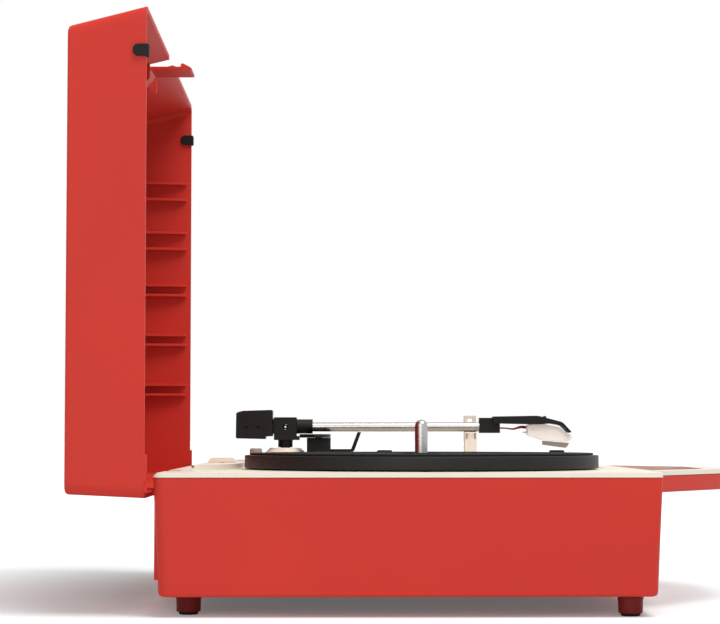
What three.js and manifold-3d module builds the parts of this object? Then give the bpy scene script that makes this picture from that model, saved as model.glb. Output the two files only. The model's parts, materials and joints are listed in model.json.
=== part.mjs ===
// Portable record player in a carrying case with a bow handle and a lid hinged at the rear.
// Millimetres, +Z up, +X to the player's right, -Y to the front (handle side), z = 0 at the floor.
// The lid stands open, its rest position: it leans on its hinges behind the case.
import * as THREE from 'three';
import { mergeVertices } from 'three/addons/utils/BufferGeometryUtils.js';
import Module from 'manifold-3d';

const wasm = await Module();
wasm.setup();

// ---------------------------------------------------------------- driving dimensions

// Clearances
const SEAT_GAP = 0.3; // between two pieces that rest on or fit into each other
const TURN_GAP = 0.2; // radial, between a shaft and its bore
const CUT_PAST = 1; // how far a cutting tool runs past the face it opens

// Case
const CASE_WIDTH = 330;
const CASE_DEPTH = 257;
const CASE_HEIGHT = 59.6; // the tub alone
const CASE_WALL = 2.5;
const CASE_CORNER = 6;
const CASE_DRAFT = 2.6; // each side narrows by this much towards the floor
const CASE_EDGE = 2; // rounding round the floor
const DECK_THICKNESS = 2.4;

// Feet
const FOOT_PAD_HEIGHT = 2.3;
const FOOT_PAD_RADIUS = 5;
const FOOT_CUP_HEIGHT = 8;
const FOOT_CUP_RADIUS = 6.7;
const REAR_FOOT_INSET = [27, 16.6]; // from the side, from the rear
const FRONT_FOOT_INSET = [15, 15.6]; // from the side, from the front

// Handle
const HANDLE_REACH = 56;
const HANDLE_ROOT_HALF = 122;
const HANDLE_TIP_HALF = 42;
const HANDLE_BAR = 13;
const HANDLE_DROP = 8.6; // depth of the moulded bar below the deck plate
const HANDLE_CORNER = 16;

// Lid
const LID_SETBACK = 7; // from the closed lid's front lip back to the case's front
const LID_LENGTH = CASE_DEPTH - LID_SETBACK;
const LID_HEIGHT = 40.3;
const LID_WALL = 2.5;
const LID_GAP = 1.6; // between the closed lid's edge and the deck
const LID_FRONT_SLOPE = 10; // how far the front wall leans back over the lid's height
const LID_DRAFT = 1.9;
const LID_OPEN_ANGLE = 90;
const HINGE_INBOARD = 5.15;
const HINGE_BELOW_DECK = 7.75;
const HINGE_SPREAD = 206;
const HINGE_BARREL_RADIUS = 4.2;
const HINGE_BARREL_LENGTH = 26;
const HINGE_PIN_RADIUS = 1.5;

// Lid ribs
const RIB_FIRST = 61.5; // first pair of ribs, from the rear
const RIB_PITCH = 32.65;
const RIB_SPACINGS = [6.4, 6.4, 6.4, 10.7, 10.7];
const RIB_THICKNESS = 1.6;
const RIB_REACH_TOP = 9;
const RIB_REACH_EDGE = 4;

// Latch
const LATCH_WIDTH = 26;
const LATCH_THICKNESS = 2;
const LATCH_INSET = 5; // from the lid's front lip to the tongue's outer face
const LATCH_HOOK_DEPTH = 5.8; // from the lip down to the catching face
const LATCH_CATCH = 2;
const LATCH_LENGTH = 12.4; // from the lip down to the hook's end
const LATCH_PIN_RADIUS = 1.2;
const LATCH_PIN_INSET = 11;
const LATCH_PIN_HEIGHT = 17;
const LATCH_BARREL_RADIUS = 2.6;
const LATCH_WINDOW_HALF = 21;
const LATCH_WINDOW_HEIGHT = 24;

// Platter
const PLATTER_DIAMETER = 197;
const PLATTER_FROM_LEFT = 120;
const PLATTER_FROM_REAR = 139.5;
const PLATTER_LIFT = 0.7;
const PLATTER_RIM_HEIGHT = 7.1;
const PLATTER_RIM = 4.5;
const PLATTER_TOP = 2;
const DRUM_RADIUS = 61;
const MAT_RADIUS = 95.5;
const MAT_THICKNESS = 0.9;
const SPINDLE_RADIUS = 3.6;
const SPINDLE_HEIGHT = 27.6;
const PULLEY_RADIUS = 4;
const PULLEY_OFFSET = [-55, -55]; // from the spindle
const BELT_THICKNESS = 0.8;
const BELT_WIDTH = 3;

// Raised pod beside the platter
const POD_HEIGHT = 3;
const POD_CLEAR_OF_PLATTER = 6;
const POD_SIDE_INSET = 11;
const POD_REAR_INSET = 16;
const POD_FRONT_INSET = 12;

// Tonearm, from the arm's pivot
const ARM_FROM_LEFT = 265;
const ARM_FROM_REAR = 60;
const ARM_AXIS_HEIGHT = 24; // above the deck
const ARM_TUBE_RADIUS = 2.9;
const ARM_TUBE_END = 124;
const ARM_SLEEVE_RADIUS = 4.5;
const ARM_SLEEVE_START = 7.3;
const ARM_SLEEVE_END = 17.1;
const TUBE_IN_SLEEVE = 8; // depth of the sleeve's socket
const ARM_PIN_RADIUS = 1.5;
const ARM_BASE_TOP = 11;
const ARM_BASE_RADII = [17, 10.2];
const ARM_POST_RADIUS = 4.6;
const ARM_SPIGOT_RADIUS = 3; // of the post's lower end, which turns in the deck
const YOKE_HALF_LENGTH = 7;
const YOKE_HALF_WIDTH = 8;
const YOKE_CHEEK = 2.2;
const YOKE_FLOOR = 15.8;
const YOKE_FLOOR_THICKNESS = 2.5;
const YOKE_TOP = 30;
const WEIGHT_LENGTH = 22.6;
const WEIGHT_HEIGHT = 18.2;
const WEIGHT_WIDTH = 20;
const WEIGHT_START = 7.9;
const WEIGHT_TOP = ARM_AXIS_HEIGHT + 10.6;
const ARM_REST_AT = 116.1;
const ARM_REST_WIDTH = 7.6;
const ARM_REST_TOP = ARM_AXIS_HEIGHT + 7.3;

// Cue lift
const CUE_START = 13.5;
const CUE_LENGTH = 14.9;
const CUE_CLEARANCE = 1.6; // between the lowered platform and the tube
const CUE_TOP = ARM_AXIS_HEIGHT - ARM_TUBE_RADIUS - CUE_CLEARANCE;
const CUE_PLATFORM = 2.2;
const CUE_LEFT = 6;
const CUE_RIGHT = 7;
const CUE_STUD_RADIUS = 1.5;
const CUE_STUD_AT = 21;
const CUE_STUD_HEIGHT = 9.2;
const CUE_SWEEP = 50; // degrees of tonearm swing that the platform serves

// Controls: from the left, from the rear
const SPEED_SLIDER_AT = [163, 26.2];
const SPEED_SLIDER_SIZE = [8, 16.9, 2.7];
const SPEED_SLIDER_TRAVEL = 8;
const PITCH_KNOB_AT = [215, 43.5];
const PITCH_KNOB_RADIUS = 3.8;
const PITCH_KNOB_TOP = 11;
const VOLUME_KNOB_AT = [300, 123];
const TONE_KNOB_AT = [300, 234];
const KNOB_RADIUS = 5;
const KNOB_TOP = 9.3;
const KNOB_SHAFT_RADIUS = 2;

// Inside the case
const SPEAKER_RADIUS = 24;
const SPEAKER_DEPTH = 19;
const SPEAKER_SPREAD = 180;
const SPEAKER_HEIGHT = 30; // of the speaker's axis above the case floor
const GRILLE_SLOTS = 7;
const GRILLE_SLOT_WIDTH = 2.6;
const GRILLE_SLOT_PITCH = 6;
const MOTOR_RADIUS = 16;
const MOTOR_HEIGHT = 22;
const BATTERY_BAY = [118, 62, 19]; // width, depth, height
const BATTERY_FROM_LEFT = 110;
const BATTERY_FROM_REAR = 75;
const BATTERY_WALL = 1.6;
const POST_RADIUS = 4.2;
const POST_INSET = [22, 38]; // of the screw posts, from the side and from the front or rear
const SCREW_RADIUS = 1.5;
const SCREW_HEAD_RADIUS = 3;
const SCREW_HEAD_HEIGHT = 2;
const SOCKET_PLATE = [74, 24, 2]; // width, height, thickness
const SOCKET_PLATE_AT = [244, 34]; // centre from the left, and above the floor of the case
const BOARD = [96, 58, 1.6];

// Facets round a full circle, by the size of the piece
const ROUND_PLATTER = 48;
const ROUND_BELT = 18;
const ROUND_SPEAKER = 24;
const ROUND_KNOB = 16;

// ---------------------------------------------------------------- levels and places

const FLOOR_Z = FOOT_PAD_HEIGHT + FOOT_CUP_HEIGHT;
const TUB_TOP = FLOOR_Z + CASE_HEIGHT;
const DECK_UNDER = TUB_TOP + SEAT_GAP;
const DECK_TOP = DECK_UNDER + DECK_THICKNESS;
const POD_TOP = DECK_TOP + POD_HEIGHT;
const LID_BACK = HINGE_BELOW_DECK + LID_GAP + LID_HEIGHT - HINGE_INBOARD;
const REAR_Y = (CASE_DEPTH + HANDLE_REACH - LID_BACK) / 2; // centres the whole object on y = 0
const FRONT_Y = REAR_Y - CASE_DEPTH;
const HALF_WIDTH = CASE_WIDTH / 2;
const HINGE_Y = REAR_Y - HINGE_INBOARD;
const HINGE_Z = DECK_TOP - HINGE_BELOW_DECK;
const fromLeft = (distance) => distance - HALF_WIDTH;
const fromRear = (distance) => REAR_Y - distance;
const SPINDLE_X = fromLeft(PLATTER_FROM_LEFT);
const SPINDLE_Y = fromRear(PLATTER_FROM_REAR);
const ARM_X = fromLeft(ARM_FROM_LEFT);
const ARM_Y = fromRear(ARM_FROM_REAR);

// ---------------------------------------------------------------- materials

const finish = (color, roughness, metalness = 0) =>
  new THREE.MeshStandardMaterial({ color, roughness, metalness });
const RED = finish(0xcb4136, 0.5);
const DARK_RED = finish(0x6e2420, 0.55);
const CREAM = finish(0xf0e8dc, 0.45);
const BLACK = finish(0x2d2a28, 0.5);
const RUBBER = finish(0x1c1b1a, 0.85);
const MAT_RUBBER = finish(0x3a3a38, 0.8);
const STEEL = finish(0xc4c4c8, 0.3, 1);
const BRASS = finish(0xb08d4a, 0.35, 1);
const WHITE = finish(0xf4ece8, 0.4);
const GREY = finish(0x9a938e, 0.5);
const BOARD_GREEN = finish(0x23603c, 0.6);
const CONE_PAPER = finish(0x35322f, 0.9);
const WIRE_RED = finish(0xb02030, 0.5);

// ---------------------------------------------------------------- geometry helpers

function solidOf(geometry) {
  const bare = geometry.clone();
  for (const name of Object.keys(bare.attributes)) {
    if (name !== 'position') bare.deleteAttribute(name);
  }
  const welded = mergeVertices(bare, 1e-4);
  return new wasm.Manifold(
    new wasm.Mesh({
      numProp: 3,
      vertProperties: new Float32Array(welded.attributes.position.array),
      triVerts: new Uint32Array(welded.index.array),
    }),
  );
}

function geometryOf(solid) {
  const mesh = solid.getMesh();
  const geometry = new THREE.BufferGeometry();
  geometry.setAttribute('position', new THREE.BufferAttribute(new Float32Array(mesh.vertProperties), 3));
  geometry.setIndex(new THREE.BufferAttribute(new Uint32Array(mesh.triVerts), 1));
  return geometry;
}

function join(first, ...others) {
  return geometryOf(others.reduce((sum, other) => sum.add(solidOf(other)), solidOf(first)));
}

function cut(first, ...tools) {
  return geometryOf(tools.reduce((rest, tool) => rest.subtract(solidOf(tool)), solidOf(first)));
}

function block([x0, x1], [y0, y1], [z0, z1]) {
  const geometry = new THREE.BoxGeometry(x1 - x0, y1 - y0, z1 - z0);
  return geometry.translate((x0 + x1) / 2, (y0 + y1) / 2, (z0 + z1) / 2);
}

// A round bar along z, from z0 to z1, whose far end may have another radius.
function rod([x, y], [z0, z1], radius, sides = 20, endRadius = radius) {
  const geometry = new THREE.CylinderGeometry(endRadius, radius, z1 - z0, sides);
  return geometry.rotateX(Math.PI / 2).translate(x, y, (z0 + z1) / 2);
}

function rodAlongX([x0, x1], [y, z], radius, sides = 16) {
  const geometry = new THREE.CylinderGeometry(radius, radius, x1 - x0, sides);
  return geometry.rotateZ(Math.PI / 2).translate((x0 + x1) / 2, y, z);
}

function rodAlongY([y0, y1], [x, z], radius, sides = 16) {
  const geometry = new THREE.CylinderGeometry(radius, radius, y1 - y0, sides);
  return geometry.translate(x, (y0 + y1) / 2, z);
}

function prism(outline, [z0, z1], curveSegments = 6) {
  const options = { depth: z1 - z0, bevelEnabled: false, curveSegments };
  const geometry = new THREE.ExtrudeGeometry(outline, options);
  return geometry.translate(0, 0, z0);
}

// The outline is drawn in (y, z).
function prismAlongX(outline, [x0, x1], curveSegments = 4) {
  const turn = new THREE.Matrix4().makeBasis(
    new THREE.Vector3(0, 1, 0),
    new THREE.Vector3(0, 0, 1),
    new THREE.Vector3(1, 0, 0),
  );
  return prism(outline, [0, x1 - x0], curveSegments).applyMatrix4(turn).translate(x0, 0, 0);
}

// The outline is drawn in (x, z).
function prismAlongY(outline, [y0, y1], curveSegments = 4) {
  return prism(outline, [0, y1 - y0], curveSegments).rotateX(Math.PI / 2).translate(0, y1, 0);
}

// A turned piece round the z axis, from a profile of [radius, z] points.
function turned(profile, sides = 24) {
  const points = profile.map(([radius, z]) => new THREE.Vector2(radius, z));
  return new THREE.LatheGeometry(points, sides).rotateX(Math.PI / 2);
}

function toward([x, y], [toX, toY], distance) {
  const length = Math.hypot(toX - x, toY - y);
  return [x + ((toX - x) * distance) / length, y + ((toY - y) * distance) / length];
}

// A closed outline whose corners are rounded over the given setback, one for all or one for each.
function roundedOutline(corners, setbacks = 0) {
  const shape = new THREE.Shape();
  corners.forEach((corner, i) => {
    const setback = Array.isArray(setbacks) ? setbacks[i] : setbacks;
    const before = corners[(i + corners.length - 1) % corners.length];
    const after = corners[(i + 1) % corners.length];
    const enter = toward(corner, before, setback);
    if (i === 0) shape.moveTo(...enter);
    else shape.lineTo(...enter);
    if (setback > 0) shape.quadraticCurveTo(...corner, ...toward(corner, after, setback));
  });
  shape.closePath();
  return shape;
}

const rectangle = ([x0, x1], [y0, y1]) => [[x0, y0], [x1, y0], [x1, y1], [x0, y1]];

// Moves the four sides of a shell inwards as z goes from one level to another.
function drafted(geometry, [x0, x1], [y0, y1], [startZ, endZ], inset) {
  const position = geometry.attributes.position;
  for (let i = 0; i < position.count; i++) {
    const share = (position.getZ(i) - startZ) / (endZ - startZ);
    const across = (position.getX(i) - x0) / (x1 - x0);
    const along = (position.getY(i) - y0) / (y1 - y0);
    position.setX(i, position.getX(i) + share * inset.side * (1 - 2 * across));
    position.setY(i, position.getY(i) + share * (inset.front * (1 - along) - inset.rear * along));
  }
  return geometry;
}

// A block with a rounded outline and a rounding of its own round both ends.
function edgedPrism(outline, [z0, z1], edge, curveSegments = 4) {
  const geometry = new THREE.ExtrudeGeometry(outline, {
    depth: z1 - z0 - 2 * edge,
    bevelThickness: edge,
    bevelSize: edge,
    bevelOffset: -edge,
    bevelSegments: 2,
    curveSegments,
  });
  return geometry.translate(0, 0, z0 + edge);
}

// ---------------------------------------------------------------- scene

const player = new THREE.Group();

function add(parent, name, material, geometry, [x, y, z] = [0, 0, 0]) {
  const mesh = new THREE.Mesh(geometry, material);
  mesh.name = name;
  mesh.position.set(x, y, z);
  parent.add(mesh);
  return mesh;
}

const SIDES = [['left', -1], ['right', 1]];

// ---------------------------------------------------------------- case

// The bow of the handle: a trapezium ahead of the case, drawn in (x, y) and set in by a distance.
function handleOutline(inset, rootY) {
  const lean = Math.atan2(HANDLE_REACH, HANDLE_ROOT_HALF - HANDLE_TIP_HALF);
  const sideInset = inset / Math.sin(lean);
  const run = (HANDLE_ROOT_HALF - HANDLE_TIP_HALF) / HANDLE_REACH;
  const halfAt = (reach) => HANDLE_ROOT_HALF - run * reach - sideInset;
  const tipReach = HANDLE_REACH - inset;
  const rootReach = FRONT_Y - rootY;
  const rootCorner = inset > CASE_WALL ? CASE_CORNER : 0;
  return roundedOutline(
    [
      [-halfAt(tipReach), FRONT_Y - tipReach],
      [halfAt(tipReach), FRONT_Y - tipReach],
      [halfAt(rootReach), rootY],
      [-halfAt(rootReach), rootY],
    ],
    [HANDLE_CORNER, HANDLE_CORNER, rootCorner, rootCorner],
  );
}

const FINGER_HOLE_ROOT = FRONT_Y - 4;
const HINGE_NOTCH_HALF = HINGE_BARREL_LENGTH / 2 + 0.4;
const HINGE_NOTCH_FRONT = HINGE_Y - HINGE_BARREL_RADIUS - 0.7;
const HINGE_NOTCH_FLOOR = HINGE_Z - HINGE_INBOARD - 0.7;
const HINGE_BOSS_HALF = HINGE_NOTCH_HALF + 7;
const POSTS = [];
for (const [side, sx] of SIDES) {
  POSTS.push([`front_${side}`, sx * (HALF_WIDTH - POST_INSET[0]), FRONT_Y + POST_INSET[1]]);
  POSTS.push([`rear_${side}`, sx * (HALF_WIDTH - POST_INSET[0]), REAR_Y - POST_INSET[1]]);
}

const hingeNotch = (x) =>
  block(
    [x - HINGE_NOTCH_HALF, x + HINGE_NOTCH_HALF],
    [HINGE_NOTCH_FRONT, REAR_Y + CUT_PAST],
    [HINGE_NOTCH_FLOOR, DECK_TOP + CUT_PAST],
  );

const fingerHole = (z0, z1) => prism(handleOutline(HANDLE_BAR, FINGER_HOLE_ROOT), [z0, z1]);

function caseShell(inset, [z0, z1], edge) {
  const xs = [-HALF_WIDTH + inset, HALF_WIDTH - inset];
  const ys = [FRONT_Y + inset, REAR_Y - inset];
  const outline = roundedOutline(rectangle(xs, ys), CASE_CORNER - inset / 2);
  const inward = { side: CASE_DRAFT, front: CASE_DRAFT, rear: CASE_DRAFT };
  return drafted(edgedPrism(outline, [z0, z1], edge), xs, ys, [TUB_TOP, FLOOR_Z], inward);
}

function caseTub() {
  const above = TUB_TOP + 3 * CASE_EDGE;
  const farY = 2 * CASE_DEPTH;
  const openTop = block([-CASE_WIDTH, CASE_WIDTH], [-farY, farY], [TUB_TOP, above + CUT_PAST]);
  const cavity = caseShell(CASE_WALL, [FLOOR_Z + CASE_WALL, above], CASE_EDGE / 2);
  const barLow = DECK_UNDER - SEAT_GAP - HANDLE_DROP;
  const bar = cut(
    edgedPrism(handleOutline(0, FRONT_Y + CASE_WALL), [barLow, above], 1.5),
    prism(handleOutline(HANDLE_BAR, FINGER_HOLE_ROOT), [barLow - CUT_PAST, above + CUT_PAST]),
  );
  const barHollow = cut(
    prism(handleOutline(CASE_WALL, FRONT_Y - CASE_WALL), [barLow + CASE_WALL, above + CUT_PAST]),
    prism(
      handleOutline(HANDLE_BAR - CASE_WALL, FINGER_HOLE_ROOT + CASE_WALL),
      [barLow, above + 2 * CUT_PAST],
    ),
  );
  let tub = join(caseShell(0, [FLOOR_Z, above], CASE_EDGE), bar);
  tub = cut(tub, cavity, barHollow, openTop);
  const additions = [];
  const removals = [];
  for (const [, x, y] of POSTS) {
    additions.push(rod([x, y], [FLOOR_Z + 1, TUB_TOP], POST_RADIUS, 16));
    const below = FLOOR_Z - CUT_PAST;
    const headSeat = FLOOR_Z + SCREW_HEAD_HEIGHT + SEAT_GAP;
    removals.push(rod([x, y], [below, TUB_TOP + CUT_PAST], SCREW_RADIUS + SEAT_GAP, 12));
    removals.push(rod([x, y], [below, headSeat], SCREW_HEAD_RADIUS + SEAT_GAP, 12));
  }
  for (const [, sx] of SIDES) {
    const x = (sx * HINGE_SPREAD) / 2;
    additions.push(
      block(
        [x - HINGE_BOSS_HALF, x + HINGE_BOSS_HALF],
        [HINGE_NOTCH_FRONT - CASE_WALL, REAR_Y - CASE_WALL],
        [HINGE_NOTCH_FLOOR - CASE_WALL, TUB_TOP],
      ),
    );
    removals.push(hingeNotch(x));
    const boreXs = [x - HINGE_BOSS_HALF - CUT_PAST, x + HINGE_BOSS_HALF + CUT_PAST];
    removals.push(rodAlongX(boreXs, [HINGE_Y, HINGE_Z], HINGE_PIN_RADIUS + TURN_GAP));
    additions.push(rearStand(sx));
    removals.push(...grilleSlots((sx * SPEAKER_SPREAD) / 2));
    additions.push(speakerSaddle((sx * SPEAKER_SPREAD) / 2));
  }
  removals.push(socketWindow(), batteryWindow());
  return cut(join(tub, ...additions), ...removals);
}

// An upright rib at each rear corner: the closed case stands on the pair when it is set down on end.
function rearStand(sx) {
  const xs = [HALF_WIDTH - 18, HALF_WIDTH - 8].map((x) => sx * x).sort((a, b) => a - b);
  return block(xs, [REAR_Y - CASE_WALL - 1, REAR_Y - 0.4], [FLOOR_Z + 8.3, FLOOR_Z + 49]);
}

// Upright slots in the front wall, longest in the middle, so that they fill a circle.
function grilleSlots(x) {
  const slots = [];
  for (let i = 0; i < GRILLE_SLOTS; i++) {
    const offset = (i - (GRILLE_SLOTS - 1) / 2) * GRILLE_SLOT_PITCH;
    const half = Math.sqrt((SPEAKER_RADIUS - 2) ** 2 - offset ** 2) * 0.85;
    const middle = FLOOR_Z + SPEAKER_HEIGHT - 2;
    const xs = [x + offset - GRILLE_SLOT_WIDTH / 2, x + offset + GRILLE_SLOT_WIDTH / 2];
    const ys = [FRONT_Y - CUT_PAST, FRONT_Y + 2 * CASE_WALL + CASE_DRAFT];
    slots.push(block(xs, ys, [middle - half, middle + half]));
  }
  return slots;
}

const SPEAKER_FACE_Y = FRONT_Y + CASE_WALL + CASE_DRAFT + 1.4;

// The upright cradle on the case floor that holds a speaker by its rim.
function speakerSaddle(x) {
  const ys = [SPEAKER_FACE_Y, SPEAKER_FACE_Y + 5];
  const plate = block([x - 16, x + 16], ys, [FLOOR_Z + 1, FLOOR_Z + SPEAKER_HEIGHT - 8]);
  const rimYs = [ys[0] - CUT_PAST, ys[1] + CUT_PAST];
  return cut(plate, rodAlongY(rimYs, [x, FLOOR_Z + SPEAKER_HEIGHT], SPEAKER_RADIUS + SEAT_GAP, 32));
}

const SOCKET_X = fromLeft(SOCKET_PLATE_AT[0]);
const SOCKET_Z = FLOOR_Z + SOCKET_PLATE_AT[1];

function socketWindow() {
  const halfWidth = SOCKET_PLATE[0] / 2 + SEAT_GAP;
  const halfHeight = SOCKET_PLATE[1] / 2 + SEAT_GAP;
  return block(
    [SOCKET_X - halfWidth, SOCKET_X + halfWidth],
    [REAR_Y - CASE_WALL - CASE_DRAFT - 2, REAR_Y + CUT_PAST],
    [SOCKET_Z - halfHeight, SOCKET_Z + halfHeight],
  );
}

const BATTERY_X = fromLeft(BATTERY_FROM_LEFT);
const BATTERY_Y = fromRear(BATTERY_FROM_REAR);

function batteryWindow() {
  return block(
    [BATTERY_X - BATTERY_BAY[0] / 2, BATTERY_X + BATTERY_BAY[0] / 2],
    [BATTERY_Y - BATTERY_BAY[1] / 2, BATTERY_Y + BATTERY_BAY[1] / 2],
    [FLOOR_Z - CUT_PAST, FLOOR_Z + CASE_WALL + CUT_PAST],
  );
}

add(player, 'case_tub', RED, caseTub());

// ---------------------------------------------------------------- deck plate

const LATCH_OUTER_Y = fromRear(LID_LENGTH - LATCH_INSET); // the closed tongue's outer face
const LATCH_SLOT = [LATCH_OUTER_Y - 1.3, LATCH_OUTER_Y + LATCH_THICKNESS + 3.8];
const LATCH_SLOT_HALF = LATCH_WIDTH / 2 + 1;

// The pod wraps round the platter on the right and runs out to a point at the rear left.
function podOutline() {
  const radius = PLATTER_DIAMETER / 2 + POD_CLEAR_OF_PLATTER;
  const right = HALF_WIDTH - POD_SIDE_INSET;
  const rear = REAR_Y - POD_REAR_INSET;
  const front = FRONT_Y + POD_FRONT_INSET;
  const startAngle = THREE.MathUtils.degToRad(75);
  const endAngle = THREE.MathUtils.degToRad(-40);
  const shape = new THREE.Shape();
  shape.moveTo(SPINDLE_X - 68, rear);
  const arcStart = [SPINDLE_X + radius * Math.cos(startAngle), SPINDLE_Y + radius * Math.sin(startAngle)];
  shape.quadraticCurveTo(SPINDLE_X - 32, rear - 22, ...arcStart);
  shape.absarc(SPINDLE_X, SPINDLE_Y, radius, startAngle, endAngle, true);
  shape.quadraticCurveTo(SPINDLE_X + 74, front + 14, SPINDLE_X + 96, front);
  shape.lineTo(right - CASE_CORNER, front);
  shape.quadraticCurveTo(right, front, right, front + CASE_CORNER);
  shape.lineTo(right, rear - CASE_CORNER);
  shape.quadraticCurveTo(right, rear, right - CASE_CORNER, rear);
  shape.closePath();
  return shape;
}

function deckPlate() {
  const body = roundedOutline(rectangle([-HALF_WIDTH, HALF_WIDTH], [FRONT_Y, REAR_Y]), CASE_CORNER);
  const bow = prism(handleOutline(0, FRONT_Y + CASE_WALL), [DECK_UNDER, DECK_TOP]);
  const slotXs = [-LATCH_SLOT_HALF, LATCH_SLOT_HALF];
  const keeper = block(
    slotXs,
    [LATCH_OUTER_Y - 5, LATCH_OUTER_Y - 0.4],
    [DECK_TOP + LID_GAP - LATCH_HOOK_DEPTH + SEAT_GAP, DECK_UNDER + 1],
  );
  const pod = prism(podOutline(), [DECK_TOP - 1, POD_TOP], 16);
  const plate = join(prism(body, [DECK_UNDER, DECK_TOP]), bow, pod, keeper);
  const through = [DECK_UNDER - CUT_PAST, POD_TOP + CUT_PAST];
  const hole = ([x, y], radius, sides = 16) => rod([x, y], through, radius, sides);
  const at = ([left, rear]) => [fromLeft(left), fromRear(rear)];
  const [sliderX, sliderY] = at(SPEED_SLIDER_AT);
  const rearChamfer = roundedOutline([
    [REAR_Y - 2.3, DECK_TOP],
    [REAR_Y + 0.01, DECK_TOP - 1.6],
    [REAR_Y + CUT_PAST, DECK_TOP - 1.6],
    [REAR_Y + CUT_PAST, DECK_TOP + CUT_PAST],
    [REAR_Y - 2.3, DECK_TOP + CUT_PAST],
  ]);
  return cut(
    plate,
    fingerHole(...through),
    block(slotXs, LATCH_SLOT, [DECK_UNDER - 0.01, POD_TOP]),
    block(slotXs, [LATCH_OUTER_Y - 0.4, LATCH_SLOT[1]], [DECK_UNDER - 4, DECK_UNDER + 1]),
    hole([SPINDLE_X, SPINDLE_Y], SPINDLE_RADIUS + SEAT_GAP),
    hole([SPINDLE_X + PULLEY_OFFSET[0], SPINDLE_Y + PULLEY_OFFSET[1]], PULLEY_RADIUS + 1),
    hole([ARM_X, ARM_Y], ARM_SPIGOT_RADIUS + SEAT_GAP),
    hole(at(VOLUME_KNOB_AT), KNOB_SHAFT_RADIUS + SEAT_GAP),
    hole(at(TONE_KNOB_AT), KNOB_SHAFT_RADIUS + SEAT_GAP),
    hole(at(PITCH_KNOB_AT), KNOB_SHAFT_RADIUS + SEAT_GAP),
    block([sliderX - 2, sliderX + SPEED_SLIDER_TRAVEL + 2], [sliderY - 1.5, sliderY + 1.5], through),
    hingeNotch(-HINGE_SPREAD / 2),
    hingeNotch(HINGE_SPREAD / 2),
    prismAlongX(rearChamfer, [-CASE_WIDTH, CASE_WIDTH]),
  );
}

add(player, 'deck_plate', CREAM, deckPlate());

// ---------------------------------------------------------------- feet, screws, underside

const FEET = [];
for (const [side, sx] of SIDES) {
  FEET.push([`front_${side}`, sx * (HALF_WIDTH - FRONT_FOOT_INSET[0]), FRONT_Y + FRONT_FOOT_INSET[1]]);
  FEET.push([`rear_${side}`, sx * (HALF_WIDTH - REAR_FOOT_INSET[0]), REAR_Y - REAR_FOOT_INSET[1]]);
}
for (const [place, x, y] of FEET) {
  const recess = FOOT_PAD_HEIGHT - 0.8;
  const cup = cut(
    rod([0, 0], [recess, FLOOR_Z - SEAT_GAP], FOOT_CUP_RADIUS - 0.5, 24, FOOT_CUP_RADIUS),
    rod([0, 0], [recess - CUT_PAST, FOOT_PAD_HEIGHT + 1.2], FOOT_PAD_RADIUS + SEAT_GAP, 24),
  );
  add(player, `foot_cup_${place}`, DARK_RED, cup, [x, y, 0]);
  const padTop = FOOT_PAD_HEIGHT + 0.9;
  const pad = turned([
    [0, 0],
    [FOOT_PAD_RADIUS - 0.6, 0],
    [FOOT_PAD_RADIUS, 0.6],
    [FOOT_PAD_RADIUS, padTop],
    [0, padTop],
  ]);
  add(player, `foot_pad_${place}`, RUBBER, pad, [x, y, 0]);
}
for (const [place, x, y] of POSTS) {
  const length = TUB_TOP - FLOOR_Z - 6;
  const screw = turned(
    [
      [0, SCREW_HEAD_HEIGHT * 0.55],
      [1.2, 0.1],
      [SCREW_HEAD_RADIUS, 0.1],
      [SCREW_HEAD_RADIUS, SCREW_HEAD_HEIGHT],
      [SCREW_RADIUS, SCREW_HEAD_HEIGHT],
      [SCREW_RADIUS, length],
      [0, length + 1],
    ],
    12,
  );
  add(player, `case_screw_${place}`, STEEL, screw, [x, y, FLOOR_Z]);
}

function batteryTray() {
  const half = [BATTERY_BAY[0] / 2, BATTERY_BAY[1] / 2];
  const low = CASE_WALL + SEAT_GAP;
  const flange = 4;
  const outer = block(
    [-half[0] - flange, half[0] + flange],
    [-half[1] - flange, half[1] + flange],
    [low, low + BATTERY_WALL],
  );
  const walls = block(
    [-half[0] - BATTERY_WALL, half[0] + BATTERY_WALL],
    [-half[1] - BATTERY_WALL, half[1] + BATTERY_WALL],
    [low, BATTERY_BAY[2] + BATTERY_WALL],
  );
  const bay = block([-half[0], half[0]], [-half[1], half[1]], [low - CUT_PAST, BATTERY_BAY[2]]);
  const divider = block(
    [-half[0] - 0.5, half[0] + 0.5],
    [-BATTERY_WALL / 2, BATTERY_WALL / 2],
    [BATTERY_BAY[2] - 9, BATTERY_BAY[2] + 0.5],
  );
  return join(cut(join(outer, walls), bay), divider);
}
add(player, 'battery_tray', BLACK, batteryTray(), [BATTERY_X, BATTERY_Y, FLOOR_Z]);

function batteryDoor() {
  const half = [BATTERY_BAY[0] / 2 - SEAT_GAP, BATTERY_BAY[1] / 2 - SEAT_GAP];
  const plate = block([-half[0], half[0]], [-half[1], half[1]], [0, CASE_WALL]);
  const grips = [];
  for (let i = -2; i <= 2; i++) {
    grips.push(block([half[0] - 14, half[0] - 4], [i * 3 - 0.6, i * 3 + 0.6], [-0.01, 0.6]));
  }
  return cut(plate, ...grips);
}
add(player, 'battery_door', RED, batteryDoor(), [BATTERY_X, BATTERY_Y, FLOOR_Z]);

// ---------------------------------------------------------------- sockets, board, speakers

const DC_OFFSET = -22;
const LINE_OFFSET = 14;
const SOCKET_BORE = 3;
const DC_NOSE_RADIUS = 4;
const LINE_COLLARS = [-7, 7]; // from the middle of the line socket
const LINE_COLLAR_RADIUS = 4.2;
const SOCKET_BODY = [11, 12, 11]; // width, depth, height behind the plate
const SOCKET_PLATE_Y = REAR_Y - CASE_WALL - 1.5;

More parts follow.
